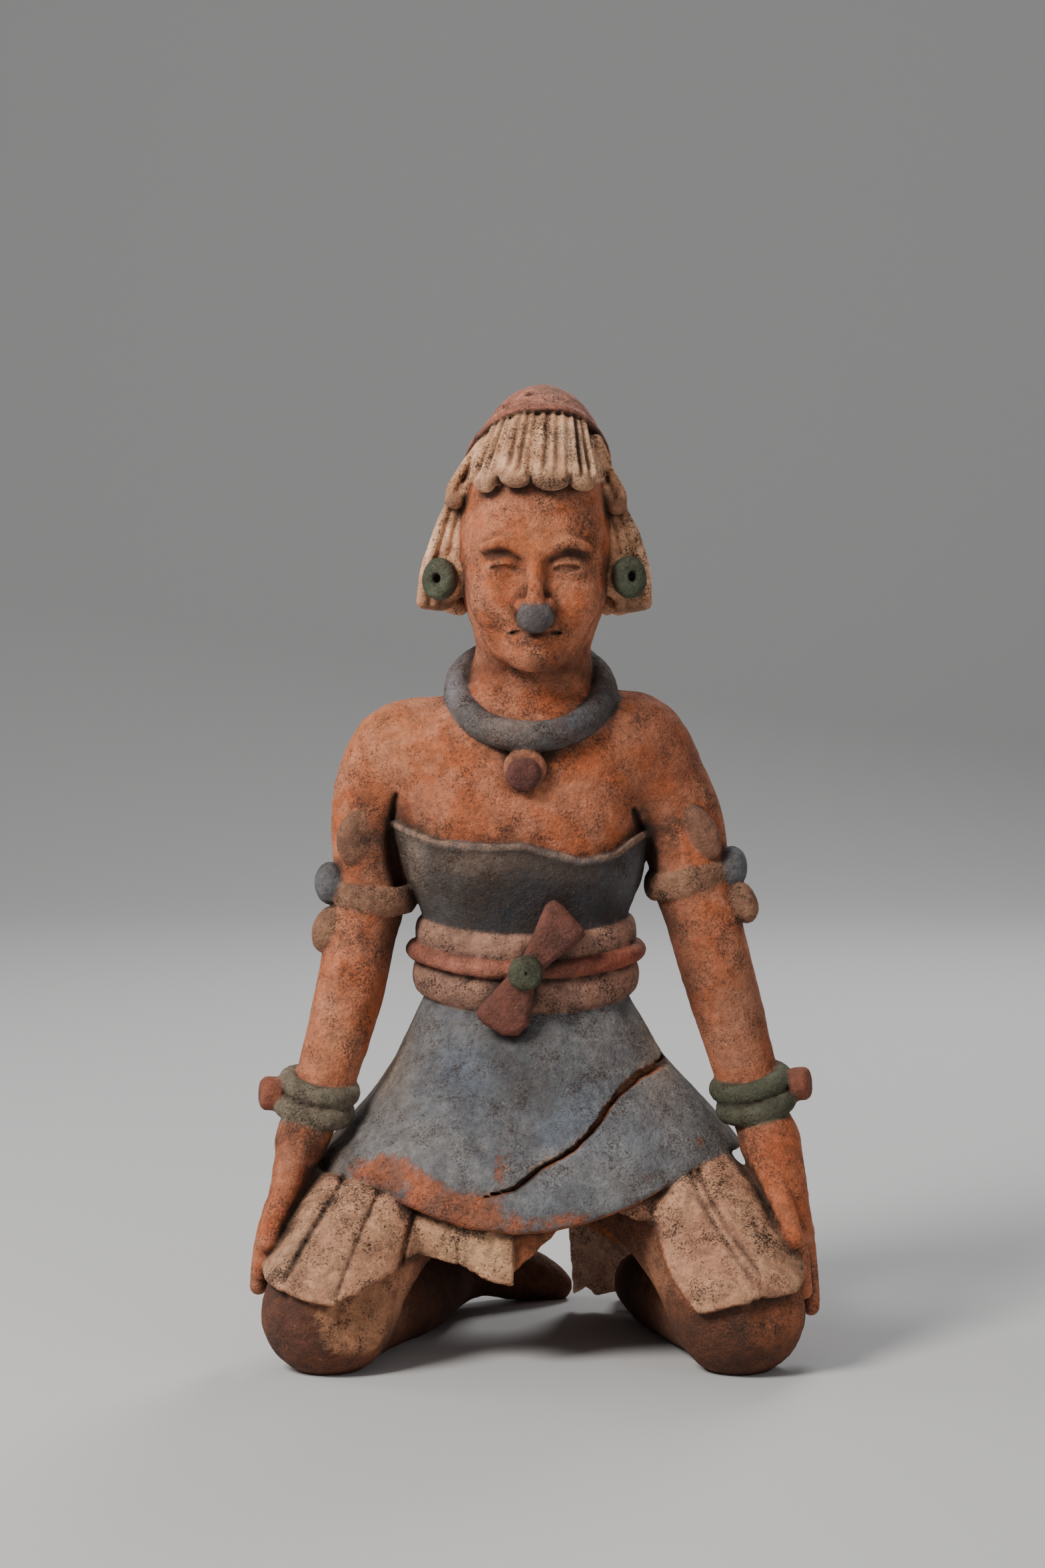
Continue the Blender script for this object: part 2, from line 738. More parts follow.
def in_front_of_dome(x, y, z):
    """Brings a place beside the fringe forward to where the cap's dome is."""
    across, up = (x - CAP_CENTRE[0]) / CAP_RADII[0], (z - CAP_CENTRE[2]) / CAP_RADII[2]
    room = max(1 - across**2 - up**2, 0)
    dome = CAP_CENTRE[1] - CAP_RADII[1] * math.sqrt(room) + 1.2
    share = float(ease(z, 241, 246)) if room > 0 else 0.0
    return y + (min(y, dome) - y) * share


def side_lock(tier, depths, share, part, back, deep):
    """A rope between the borders of a tier, "share" of the way in and "part" of it wide."""
    stations = []
    for (ox, oz), (ix, iz), depth in zip(*tier, depths):
        x, z = ox + (ix - ox) * share, oz + (iz - oz) * share
        depth = in_front_of_dome(x, depth, z) if back < 3 else depth
        stations.append((x, depth + back, z, abs(ix - ox) * 0.46 * part, deep))
    return rope(stations)


def side_tier(tier, depths, strands):
    """A tier of side hair, grooved in front and with plain strands behind."""
    pieces = [side_lock(tier, depths, 0.5, 1.0, 1.2, 2.2)]
    for i in range(strands):
        wide = 1.0 / strands + 0.06 * (i == 0)
        pieces.append(side_lock(tier, depths, (i + 0.5) / strands, wide, 0.2, 2.5 - 0.3 * i))
    for i in range(3):
        pieces.append(side_lock(tier, depths, 0.26, 0.5, 4.6 + 3.9 * i, 2.3))
    return pieces


def side_hair(side):
    """Two tiers in front of the ear's place. The upper one ends in a round tip."""
    upper, lower = SIDE_TIERS[side]
    (ox, oz), (ix, iz) = upper[0][-1], upper[1][-1]
    tip = ball(((ox + ix) / 2, SIDE_DEPTHS[0][-1], (oz + iz) / 2 - 0.2), (2.9, 2.9, 2.5))
    upper_pieces = side_tier(upper, SIDE_DEPTHS[0], 2) + [tip]
    return merged(upper_pieces, 0.3), merged(side_tier(lower, SIDE_DEPTHS[1], 3), 0.3)


# The back hair's strands: how many, the first one's angle and the step from one to the next
BACK_STRANDS = 19
BACK_FIRST = math.radians(8)
BACK_PITCH = math.radians(164 / (BACK_STRANDS - 1))
# Stations of a strand in either tier: how far out, height, half width and half depth
BACK_TIERS = (
    ((17.5, 252, 1.9, 2.0), (23.2, 243, 2.2, 2.2), (25.6, 234.4, 2.4, 2.4)),
    ((22.2, 240, 2.2, 2.4), (25.6, 226, 2.4, 2.6), (27.2, 213, 2.6, 2.8), (26.6, 208.0, 2.6, 2.9)),
)


def back_strand(tier, angle, lift):
    """A blunt strand that ends "lift" higher than its tier says."""
    c, s = math.cos(angle), math.sin(angle)
    stations = []
    for out, z, wide, deep in tier:
        rise = lift if z == tier[-1][1] else 0.0
        stations.append((1 + (out - 2.2) * c, 1.0 + out * s, z + rise, wide, deep))
    return rope(stations, (-s, c, 0))


def back_hair():
    """Two tiers of strands round the back of the head, with uneven ends."""
    made = []
    for tier, rise in zip(BACK_TIERS, (0.7, -0.7)):
        strands = []
        for i in range(BACK_STRANDS):
            lift = rise * math.sin(i * 2.4)
            strands.append(back_strand(tier, BACK_FIRST + BACK_PITCH * i, lift))
        made.append(merged(strands, 0.6))
    return made


def above_rim(x, y, z):
    """Positive where the cap covers the hair."""
    return cap_edge(x, y, z) - 0.2


# Height of the lower end of the hair on the nape
NAPE_END = 205


def make_hair(field):
    nape = ball((0.8, 4, 227), (23.5, 23.5, 25))
    behind_face = half_space((0, -3.5, 0), (0, -1, 0))

    def past_nape(x, y, z):
        return np.maximum(behind_face(x, y, z), NAPE_END - z)

    field.add(trimmed(nape, past_nape, 2.0), "hair", 1.0)
    for tier in back_hair():
        field.add(trimmed(tier, above_rim, 0.6), "hair", 0.4)
    for side in (LEFT, RIGHT):
        for tier in side_hair(side)[::-1]:
            field.add(trimmed(tier, above_rim, 0.6), "hair", 0.4)


# Lines in the hair beside the fringe, x and z
HAIR_GROOVES = (
    ((16.6, 254), (18.6, 248), (20.6, 243)),
    ((19.0, 252), (21.6, 247)),
    ((-12.6, 254), (-16.4, 248), (-19.6, 243)),
)


def side_grooves(x, y, z):
    total = 0
    for line in HAIR_GROOVES:
        total = total + 0.9 * np.exp(-((line_distance(x, z, line)[0] / 0.4) ** 2))
    return total * ease(y, 6, 2) * ease(-z, -254, -252)


def back_grooves(x, y, z):
    turn = (np.arctan2(y - 1, x - 1) - BACK_FIRST) / BACK_PITCH + 0.08 * np.sin(z * 0.35)
    gap = np.abs(turn - np.floor(turn) - 0.5)
    line = np.exp(-((gap / 0.16) ** 2)) * (0.8 + 0.3 * np.sin(2.4 * np.floor(turn)))
    below = ease(-cap_edge(x, y, z), 0.5, 2.5) * ease(z, 205, 208)
    return line * below * ease(y, 2, 6)


def comb_hair(field):
    """Thin lines in the hair beside the fringe, and between the strands at the back."""
    field.press((-26, -26, 238), (28, 6, 256), side_grooves)
    field.press((-32, 0, 204), (34, 34, 256), back_grooves)


# Earspools: the place of each, and where it faces
EARSPOOLS = (
    ((-26.0, -12.5, 216.0), (-0.42, -0.9, 0.12)),
    ((26.8, -12.5, 216.5), (0.36, -0.92, 0.12)),
)


def make_earspools(field):
    for at, facing in EARSPOOLS:
        post = ball((at[0] * 0.87, at[1] + 5.5, at[2]), (4.2, 6.5, 6.0))
        field.add(post, "hair", 1.5)
        field.add(disc(at, facing, 5.9, 5.4, 2.3, 0.84, 1.45), "earspool", 0.3)


# Necklace with its pendant
NECKLACE_STATIONS = 16


def make_necklace(field):
    stations = []
    for i in range(NECKLACE_STATIONS):
        a = 2 * math.pi * i / NECKLACE_STATIONS
        x, y, z = -0.9 + 20.2 * math.cos(a), -3.4 + 20.4 * math.sin(a), 184.2 + 11.4 * math.sin(a)
        swell = 4.2 + 0.15 * math.sin(3 * a)
        stations.append((x, y, z, swell, swell))
    field.add(rope(stations, (0, 0, 1), 3, True), "necklace", 0.4)
    field.add(disc((-2.2, -24.6, 164.2), (0, -1, -0.12), 5.7, 4.6, 1.8, 1.06), "pendant_rim", 0.5)
    field.add(disc((-2.6, -26.6, 162.8), (0, -1, -0.12), 4.7, 4.6, 2.0, 1.03), "pendant", 0.3)


# Bodice: its upper edge in front, x and z
BODICE_X = (-38.7, -33.7, -25.8, -12.0, -3.2, 4.7, 13.6, 22.5, 27.4, 30.9)
BODICE_Z = (148.0, 146.0, 143.6, 142.9, 143.3, 141.1, 138.6, 140.1, 143.6, 145.2)


def bodice_edge(x, y):
    front = read_line(x, BODICE_X, BODICE_Z)
    return front + (146.5 - front) * ease(y, -8, 6)


def make_bodice(field):
    body = grown(tower(TORSO), 1.5)

    def above_edge(x, y, z):
        return np.maximum(z - bodice_edge(x, y), 112 - z)

    def off_lip(x, y, z):
        return np.abs(z - bodice_edge(x, y) + 0.7) - 1.1

    field.add(trimmed(body, above_edge, 0.9), "bodice", 0.3)
    field.add(trimmed(grown(tower(TORSO), 2.3), off_lip, 1.0), "bodice_rim", 0.5)


# Belt, cord and knot: paint, height, how far out, half depth and half height of each band
BELT = (
    ("belt", 116.2, 0.9, 2.5, 4.8),
    ("cord", 111.3, 3.4, 2.6, 2.6),
    ("belt", 104.1, 1.3, 2.7, 5.3),
)
BELT_SAG = 3.5
BELT_STATIONS = 24
BELT_ROUNDING = 2 / 2.2
# The knot's place, and the angle of each of its loops
KNOT = (-2.0, -26.6, 107.6)
UPPER_ANGLE = 53
LOWER_ANGLE = 246
# The sash's two loops: along each from the knot, and across it
UPPER_LOOP = (
    (0, -3), (7, -4.4), (14, -6.2), (18, -6.8), (19.4, -5.2),
    (21, 3.6), (20.6, 6), (18.6, 6.8), (12, 5.4), (0, 3),
)
LOWER_LOOP = (
    (0, -3), (7, -5.6), (13, -8), (16.4, -8.2), (18, -5),
    (18.6, 1), (17, 5.2), (13, 6.8), (6, 4.8), (0, 3),
)


def belt_loop(z, out, deep, tall):
    stations = []
    for i in range(BELT_STATIONS):
        a = 2 * math.pi * i / BELT_STATIONS
        c, s = math.cos(a), math.sin(a)
        x = -2.0 + math.copysign(abs(c) ** BELT_ROUNDING, c) * (28 + out)
        y = math.copysign(abs(s) ** BELT_ROUNDING, s) * ((20 if s < 0 else 18) + out)
        lump = 0.12 * math.sin(5 * a + z)
        stations.append((x, y, z - BELT_SAG * max(-s, 0) ** 2, deep + lump, tall))
    return stations


def belt_rope(stations):
    """A closed band: each link is thin outwards and tall upwards."""
    points = smooth_path(stations, 2, True)
    outward = np.cross(np.diff(points[:, :3], axis=0), (0, 0, 1.0))
    return chain(points, [link(*ends) for ends in zip(points, points[1:], outward)])


def make_belt(field):
    for paint, z, out, deep, tall in BELT:
        field.add(belt_rope(belt_loop(z, out, deep, tall)), paint, 0.25)
    for outline, degrees in ((UPPER_LOOP, UPPER_ANGLE), (LOWER_LOOP, LOWER_ANGLE)):
        angle = math.radians(degrees)
        right = (math.cos(angle), 0, math.sin(angle))
        rise = (-math.sin(angle), 0, math.cos(angle))
        field.add(plate(outline, KNOT, right, rise, 4.8, 2.3), "leaf", 0.3)
    field.add(disc((-2.0, -29.6, 107.8), (0, -1, 0), 4.8, 4.6, 1.7), "green", 0.3)
    field.cut(rope([(-2, -34, 107.8, 0.5), (-2, -29.5, 107.8, 0.45)], (1, 0, 0), 1), 0.3)


# Overskirt: height, half width, depth to the front, depth to the back, centre x
OVERSKIRT = [
    (99, 28.8, 20, 19, -1.9),
    (96, 30, 21.2, 20.2, -1.8),
    (88, 34.2, 25.5, 24, -1.3),
    (80, 38.6, 30, 27.5, -0.7),
    (72, 45, 35, 31, 0.3),
    (65, 51.2, 39.5, 34.5, 0.7),
    (57, 58.3, 44.5, 37.5, 0.3),
    (51, 61.6, 47, 39.2, -0.9),
    (44, 62, 49.6, 40.7, -1),
    (32, 62.4, 51.5, 42, -1),
]
SKIRT_WALL = 4.2
SKIRT_CEILING = 84
# The hem in front and the crack as seen from the front, and half the crack's width along it
HEM_X = (-63, -55.5, -48.6, -42.2, -35.5, -27.4, -18.3, -5.4, 4.3, 14.5, 26.7, 37.5, 47.9, 60)
HEM_Z = (50.4, 49.8, 49.2, 47.6, 45.0, 42.1, 39.7, 38.2, 38.7, 41.0, 44.9, 50.0, 53.8, 56.4)
CRACK_X = (44, 37, 29.4, 23.7, 20.5, 18.3, 14.6, 10.7, 6.3, 2.1, -1.9, -5.4, -10.8, -14)
CRACK_Z = (81, 80.4, 78.2, 74.2, 70.9, 67.6, 63.7, 60.4, 57.9, 56.1, 52.9, 50.4, 49.0, 48.2)
CRACK_LAYERS = ((0.45, 2.4, 3), (0.25, 1.1, 4))
CRACK_HALF = (1.15, 1.1, 1.05, 0.95, 0.85, 0.75, 0.62, 0.56, 0.54, 0.54, 0.5, 0.48, 0.44, 0.1)


def bell():
    return tower(OVERSKIRT, 2.25)


def hem_height(x, y):
    front = read_line(x, HEM_X, HEM_Z)
    back = 45 + 7 * np.minimum(np.abs(x) / 60, 1) ** 1.5
    return front + (back - front) * ease(y, -12, 14)


def crack_gap(x, y, z):
    """Distance from the crack's ragged edge as seen from the front, negative inside it."""
    gap, place = line_distance(x, z, list(zip(CRACK_X, CRACK_Z)))
    half = read_line(place, np.linspace(0, 1, len(CRACK_HALF)), CRACK_HALF)
    return gap - half - layered(x, y, z, CRACK_LAYERS) * np.minimum(half, 0.9)


def make_overskirt(field):
    outer = bell()

    def hollow(x, y, z):
        inner = outer.distance(x, y, z) + SKIRT_WALL
        return -blend_max(inner, z - SKIRT_CEILING, 3.0)

    def below_hem(x, y, z):
        return hem_height(x, y) - z

    shell = trimmed(trimmed(outer, hollow, 1.0), below_hem, 2.6)

    def crack(x, y, z):
        depth = -(outer.distance(x, y, z) + SKIRT_WALL * 0.8)
        inside = np.maximum(crack_gap(x, y, z), np.maximum(depth, y - 4))
        return -inside

    field.add(trimmed(shell, crack, 0.5), "overskirt", 0.3)


# Legs and underskirt
THIGH = [
    (22, 12, 52, 19, 19),
    (34, -8, 46, 18.5, 18),
    (47, -28, 33, 18.2, 17.6),
    (56.5, -43.5, 15.9, 18.2, 17.8),
]
SHINS = {
    LEFT: [
        (-56, -41, 14.2, 16, 16.2),
        (-46, -18, 13.4, 14.2, 14.2),
        (-34, 10, 11.2, 12.2, 11.8),
        (-26.5, 36, 10.2, 10.2, 9.6),
    ],
    RIGHT: [
        (57, -41, 14.2, 16, 16.2),
        (48.5, -18, 13.4, 14.2, 14.2),
        (38.5, 10, 11.2, 12.2, 11.8),
        (34, 34, 9.4, 10, 9.4),
    ],
}
# Where one knee is rubbed flat: the knee's middle, how far out the flat lies, and its direction
KNEE_CENTRE = (-56.2, -43.0, 16)
KNEE_REACH = 15.3
KNEE_FACING = (0.5, -0.86, 0.06)
FEET = {
    LEFT: [
        (-27, 35, 10.4, 9.6, 9.2),
        (-16, 47, 10.4, 8.4, 7.8),
        (-4, 53.5, 8, 7.8, 8),
        (3.6, 55.5, 5.8, 6, 5.8),
        (8, 56, 3.4, 4.2, 3.6),
    ],
    RIGHT: [
        (34, 33, 9.4, 9.6, 9.2),
        (33.4, 45, 8, 8, 8),
        (32, 54.5, 5.8, 6.2, 5.8),
    ],
}
# How far the cloth lies outside the thighs, its lower edges, and its inner border on the right
COVER = 3.3
LEFT_EDGE_X = (
    -78, -72.3, -66, -58.3, -53.5, -50.9, -45.6, -39.3, -35.1, -29.9, -23.5, -18.2, -11.8, -5.9
)
LEFT_EDGE_Z = (27, 25.4, 23.2, 21.7, 21.0, 23.0, 24.9, 27.5, 29.3, 30.5, 29.8, 28.0, 24.9, 23.6)
RIGHT_EDGE_X = (33, 44.8, 53.9, 63.8, 71.6, 75, 80)
RIGHT_EDGE_Z = (17, 18.3, 21.2, 22.6, 23.6, 26.6, 30)
RIGHT_SIDE_Z = (18.3, 20.5, 27.4, 33.9, 39.8, 60)
RIGHT_SIDE_X = (44.8, 42.2, 37.0, 34.5, 33.1, 24)


def mirrored(stations, side):
    return [(side * s[0],) + tuple(s[1:]) for s in stations]


def ragged(x, y, z):
    return layered(x, y, z, ((0.45, 3.1, 8), (0.25, 1.3, 9)))


def under_bell(shape):
    """Keeps a shape inside the overskirt wherever it is above the hem."""
    over = bell()

    def outside(x, y, z):
        above_hem = z - hem_height(x, y) - 1.5
        return np.minimum(over.distance(x, y, np.maximum(z, 32)) + 0.9, above_hem)

    return trimmed(shape, outside, 0.6)


def make_legs(field):
    for side in (LEFT, RIGHT):
        field.add(under_bell(rope(mirrored(THIGH, side), steps=5)), "knee", 1.0)
        field.add(rope(SHINS[side], steps=4), "knee", 1.5)
        field.add(rope(FEET[side], steps=4), "knee", 2.0)
    flatten_knee(field)


def knee_plane():
    facing = np.array(KNEE_FACING)
    return half_space(tuple(np.array(KNEE_CENTRE) + facing * KNEE_REACH), tuple(facing))


def flatten_knee(field):
    """The left knee is rubbed flat in front, towards the middle."""
    flat = knee_plane()
    low, high = np.array((-62, -75, 4)), np.array((-34, -40, 30))
    field.cut(Shape(low, high, lambda x, y, z: -flat(x, y, z)), 0.5)


def knee_cloth(side, outside):
    """The cloth over a thigh, which follows it a little further out."""
    return trimmed(rope(mirrored(THIGH, side), steps=5, grow=COVER), outside, 1.6)


def cloth_edge(x, y, places, heights):
    """The lower edge of the cloth over a thigh, which rises towards the back."""
    return read_line(x, places, heights) + 0.12 * np.maximum(y + 52, 0)


def past_left_cloth(x, y, z):
    rough = ragged(x, y, z) * ease(x, -53, -50)
    return np.maximum(cloth_edge(x, y, LEFT_EDGE_X, LEFT_EDGE_Z) + rough - z, x + 6)


def past_right_cloth(x, y, z):
    below = cloth_edge(x, y, RIGHT_EDGE_X, RIGHT_EDGE_Z) - z
    inner = read_line(z, RIGHT_SIDE_Z, RIGHT_SIDE_X)
    return np.maximum(below, (inner - x) * 0.9 - (1 - ease(y, 10, -10)) * 40)


# The underskirt's upright wall, with its lowest row below the floor
WALL_ROWS = [
    (-12, 58, 49, 43, -0.8),
    (30, 56.5, 47.5, 41.5, -0.8),
    (45, 55.2, 46.2, 40.2, -0.8),
    (62, 50, 41, 35, -0.8),
]


def wall(shift, thick, outside):
    """Part of the underskirt's upright wall, where "outside" is negative."""
    skin = tower(WALL_ROWS, 2.2)

    def shell(x, y, z):
        place = skin.distance(x, y, z) + shift
        return np.maximum(place, -place - thick)

    hull = Shape(skin.low - 1, skin.high + 1, shell)
    return trimmed(hull, outside, 0.7)


def front_wall(edge_x, edge_z, low_x, high_x, rough_end=0.0):
    """What a strip of the wall in front leaves out: under its broken edge, behind and beside it."""

    def outside(x, y, z):
        rough = ragged(x, y, z)
        edge = read_line(x, edge_x, edge_z) + rough
        beside = np.maximum(x - high_x + rough_end * rough, low_x - x)
        return np.maximum(np.maximum(edge - z, y + 4), beside)

    return outside


# Broken lower edges of two strips of the wall, x and then z
DEEPER_EDGE = ((-8, -4.3, -1.1, 4.2, 6.4, 9), (25, 28.3, 30.5, 35.9, 38.6, 44))
RIGHT_WALL_EDGE = ((20, 24, 28, 34, 40, 60), (47, 43, 41.2, 39.8, 36, 28))
# The wall's lower edge round the back, by the angle from +X towards the back
BACK_DEGREES = (-4, 14, 33, 50, 58, 63, 67, 72, 74, 90, 104, 108, 116, 126, 138, 150, 170, 184)
BACK_EDGE = (22, 13, 9, 7, 5.5, 4.4, 7.2, 5, 34, 37, 34, 14, 11, 12, 10, 9, 13, 22)


def back_wall(x, y, z):
    angle = np.degrees(np.arctan2(y + 0 * x, x + 0.8 + 0 * y))
    angle = np.where(angle < -90, angle + 360, angle)
    edge = read_line(angle, BACK_DEGREES, BACK_EDGE) + 1.3 * ragged(x, y, z)
    return np.maximum(edge - z, -4.5 - y)


# Lines of the pleats, x and z
LEFT_PLEATS = (
    ((-51.7, 52.5), (-61.5, 37.9), (-68, 27)),
    ((-42.6, 48.6), (-48, 37), (-53.5, 23.5)),
    ((-32.1, 44.9), (-34.5, 37), (-36.5, 29)),
    ((-20.9, 41.7), (-20.8, 28.0)),
    ((-18.6, 41.7), (-18.6, 28.0)),
)
RIGHT_PLEATS = (
    ((42.4, 54.6), (46.6, 45.4), (51.8, 37.4), (59.2, 28.0)),
    ((44.8, 54.4), (48.9, 46.2), (54.1, 38.4), (61.2, 29.4)),
)


def make_underskirt(field):
    field.add(under_bell(knee_cloth(LEFT, past_left_cloth)), "underskirt", 0.2)
    field.add(under_bell(knee_cloth(RIGHT, past_right_cloth)), "underskirt", 0.2)
    left_strip = front_wall(LEFT_EDGE_X, LEFT_EDGE_Z, -54, -5.6, 0.4)
    field.add(wall(0.0, 3.0, left_strip), "underskirt", 1.2)
    field.add(wall(2.2, 3.0, front_wall(*DEEPER_EDGE, -9, 8)), "raw", 0.5)
    field.add(wall(0.0, 3.0, front_wall(*RIGHT_WALL_EDGE, 20, 54)), "underskirt", 1.2)
    field.add(wall(0.0, 3.6, back_wall), "drape", 0.8)
    press_pleats(field)


def pleat_depth(line):
    """A groove along a pleat's line, and the cloth stepping back beside it."""
    xs, zs = zip(*line)
    heights = [-z for z in zs]

    def depth(x, y, z):
        groove = 0.9 * np.exp(-((line_distance(x, z, line)[0] / 0.6) ** 2))
        across = x - read_line(-z, heights, xs)
        folded = 0.7 * np.exp(-np.maximum(across, 0) / 3.2) * ease(across, -0.3, 0.3)
        below_hem = 1 - ease(z, hem_height(x, y) + 1.0, hem_height(x, y) + 2.5)
        thin = 1 - 0.7 * ease(x, -30, -24) * ease(-x, 0, 8)
        return (groove + folded) * (ease(y, -14, -22) * below_hem) * thin

    return depth


def press_pleats(field):
    for lines, low_x, high_x in ((LEFT_PLEATS, -74, -10), (RIGHT_PLEATS, 36, 68)):
        for line in lines:
            field.press((low_x, -68, 16), (high_x, -14, 56), pleat_depth(line))


# Hands: stations of the palms and thumbs, and y, lowest point, radius and shift of each finger
PALMS = {
    LEFT: [(-64.4, -20.5, 61, 6.6, 8.8), (-67.6, -25, 49, 5.4, 9.8), (-71.0, -29.5, 38, 4.2, 10.4)],
    RIGHT: [(66.2, -21.5, 59.5, 8.3, 8.6), (69.0, -26, 49.5, 7.0, 9.4), (73.0, -30, 36, 4.8, 10.2)],
}
FINGER_ROWS = {
    LEFT: (
        (-38.0, 24.0, 2.5, -0.4),
        (-33.0, 19.6, 2.7, 0.2),
        (-28.0, 18.0, 2.7, 0.6),
        (-23.4, 21.0, 2.5, 0),
    ),
    RIGHT: (
        (-38.0, 18.5, 2.5, -1.4),
        (-33.0, 13.6, 2.7, 1.0),
        (-28.0, 12.0, 2.7, 1.4),
        (-23.4, 15.0, 2.5, 0.6),
    ),
}


def finger(side, y, tip, r, out):
    stations = [
        (side * (71.2 + out), y + 1.8, 42, 3.3, r),
        (side * (74.2 + out), y + 0.5, 31, 3.0, r),
        (side * (75.8 + out), y, tip + 2.2, 2.5, r - 0.2),
    ]
    return rope(stations)


THUMBS = {
    LEFT: [(-65.4, -29, 56, 3.6, 4), (-69.8, -37, 45, 3.0, 3.0), (-73.2, -41.8, 35, 2.7, 2.7)],
    RIGHT: [(64.6, -29, 56, 4.4, 4), (68.4, -37.8, 45.4, 3.4, 3.4), (71.4, -43.2, 36.2, 3.0, 3.0)],
}


def make_hands(field):
    for side in (LEFT, RIGHT):
        field.add(rope(PALMS[side]), "skin", 3.0)
        fingers = [finger(side, *row) for row in FINGER_ROWS[side]]
        field.add(merged(fingers, 0.7), "skin", 1.2)
        field.add(rope(THUMBS[side]), "skin", 1.1)


# Arm ornaments
ORNAMENTS = (
    {
        "side": LEFT,
        "band": (-45.4, -2, 127.0),
        "lean": (0.08, -0.1),
        "bead": (-57.0, -6, 130.4),
        "drop": ((-57.6, -8.5, 117.6), (4.4, 3.4, 6.8), (0, 0.3, 0)),
        "petal": ((-49.8, -10.6, 143.4), (5.4, 3.2, 7.8), (0, 0.1, 0.3)),
        "wrist": (-60.6, -16.4, 71.4),
        "wrist_lean": (0.2, -0.2),
        "bracelet": "bracelet",
        "end": (-73.2, -18.5, 72.6),
    },
    {
        "side": RIGHT,
        "band": (43.8, -2, 132.0),
        "lean": (0.08, 0.22),
        "bead": (55.9, -6, 135.0),
        "drop": ((59.0, -8.5, 125.2), (4.0, 3.4, 6.2), (0, -0.35, 0)),
        "petal": ((47.0, -10.8, 145.4), (4.6, 3.2, 8.4), (0, -0.44, -0.3)),
        "wrist": (61.6, -16.6, 72.6),
        "wrist_lean": (0.2, 0.24),
        "bracelet": "wrist_green",
        "end": (74.4, -18.5, 75.4),
    },
)


def arm_ring(centre, radius, deep, tall, lean, count=14):
    rows = turn_rows((lean[0], -lean[1], 0)).T
    stations = []
    for i in range(count):
        a = 2 * math.pi * i / count
        place = rows @ np.array((radius * math.cos(a), radius * math.sin(a), 0))
        stations.append((*(np.array(centre) + place), deep, tall))
    return belt_rope(stations)


def make_ornaments(field):
    for arm in ORNAMENTS:
        side = arm["side"]
        field.add(arm_ring(arm["band"], 10.9, 2.0, 4.0, arm["lean"]), "armband", 0.3)
        field.add(ball(arm["bead"], (4.4, 5.0, 6.0)), "arm_bead", 0.3)
        field.add(ball(*arm["drop"]), "armband", 0.3)
        field.add(ball(*arm["petal"]), "petal", 0.4)
        for step in (-2.75, 2.75):
            middle = np.array(arm["wrist"]) + (-side * step * 0.3, step * 0.3, step)
            field.add(arm_ring(middle, 8.8, 3.0, 3.1, arm["wrist_lean"]), arm["bracelet"], 0.2)
        field.add(disc(arm["end"], (side, -0.25, 0.1), 4.7, 6.0, 1.8), "end_bead", 0.3)


FORMS = (
    make_body,
    make_eyes,
    make_nose,
    make_mouth,
    make_hair,
    comb_hair,
    make_fringe,
    make_cap,
    make_earspools,
    make_necklace,
    make_bodice,
    make_belt,
    make_legs,
    make_underskirt,
    make_overskirt,
    make_hands,
    make_ornaments,
)


def make_figure():
    field = Field()
    for make_form in FORMS:
        make_form(field)
    floor = Shape((-200, -200, -200), (200, 200, 0), lambda x, y, z: z + 0 * x + 0 * y)
    field.cut(floor, 0.0)
    return field


# Surface of the field


def surface(values):
    """Corners and triangles of the surface where the field is zero."""
    inside = values < 0
    shape = np.array(values.shape) - 1
    cells, places, quads = [], [], []
    for axis in range(3):
        near = [slice(None)] * 3
        far = [slice(None)] * 3
        near[axis] = slice(0, -1)
        far[axis] = slice(1, None)
        crossing = inside[tuple(near)] != inside[tuple(far)]
        spot = np.array(np.nonzero(crossing))
        keep = np.ones(spot.shape[1], bool)
        others = [k for k in range(3) if k != axis]
        for k in others:
            keep &= (spot[k] > 0) & (spot[k] < shape[k])
        spot = spot[:, keep]
        beyond = spot.copy()
        beyond[axis] += 1
        a, b = values[tuple(spot)], values[tuple(beyond)]
        t = a / (a - b)
        point = np.array([AXES[k][spot[k]] for k in range(3)])
        point[axis] += t * (AXES[axis][beyond[axis]] - AXES[axis][spot[axis]])
        ring = []
        for step_u, step_v in ((-1, -1), (0, -1), (0, 0), (-1, 0)):
            cell = spot.copy()
            cell[others[0]] += step_u
            cell[others[1]] += step_v
            number = (cell[0] * shape[1] + cell[1]) * shape[2] + cell[2]
            ring.append(number)
            cells.append(number)
            places.append(point)
        ring = np.array(ring).T
        flip = (a < 0) ^ (axis == 1)
        ring[~flip] = ring[~flip][:, ::-1]
        quads.append(ring)
    places = np.concatenate(places, axis=1)
    return joined_surface(np.concatenate(cells), places, np.concatenate(quads))


def joined_surface(cells, places, quads):
    used, place = np.unique(cells, return_inverse=True)
    count = np.bincount(place)
    points = np.array([np.bincount(place, weights=row) / count for row in places]).T
    corner = np.searchsorted(used, quads)
    halves = [corner[:, [0, 1, 2]], corner[:, [0, 2, 3]]]
    return points, np.concatenate(halves)


def new_mesh(name, points, triangles):
    mesh = bpy.data.meshes.new(name)
    mesh.vertices.add(len(points))
    mesh.vertices.foreach_set("co", points.astype(np.float32).ravel())
    mesh.loops.add(triangles.size)
    mesh.loops.foreach_set("vertex_index", triangles.astype(np.int32).ravel())
    mesh.polygons.add(len(triangles))
    mesh.polygons.foreach_set("loop_start", np.arange(0, triangles.size, 3, dtype=np.int32))
    mesh.update(calc_edges=True)
    mesh.validate()
    return mesh


def read_mesh(items, name, width, kind=np.float32):
    """One property of every vertex or edge of a mesh, in rows."""
    flat = np.zeros(len(items) * width, kind)
    items.foreach_get(name, flat)
    return flat.reshape(-1, width)


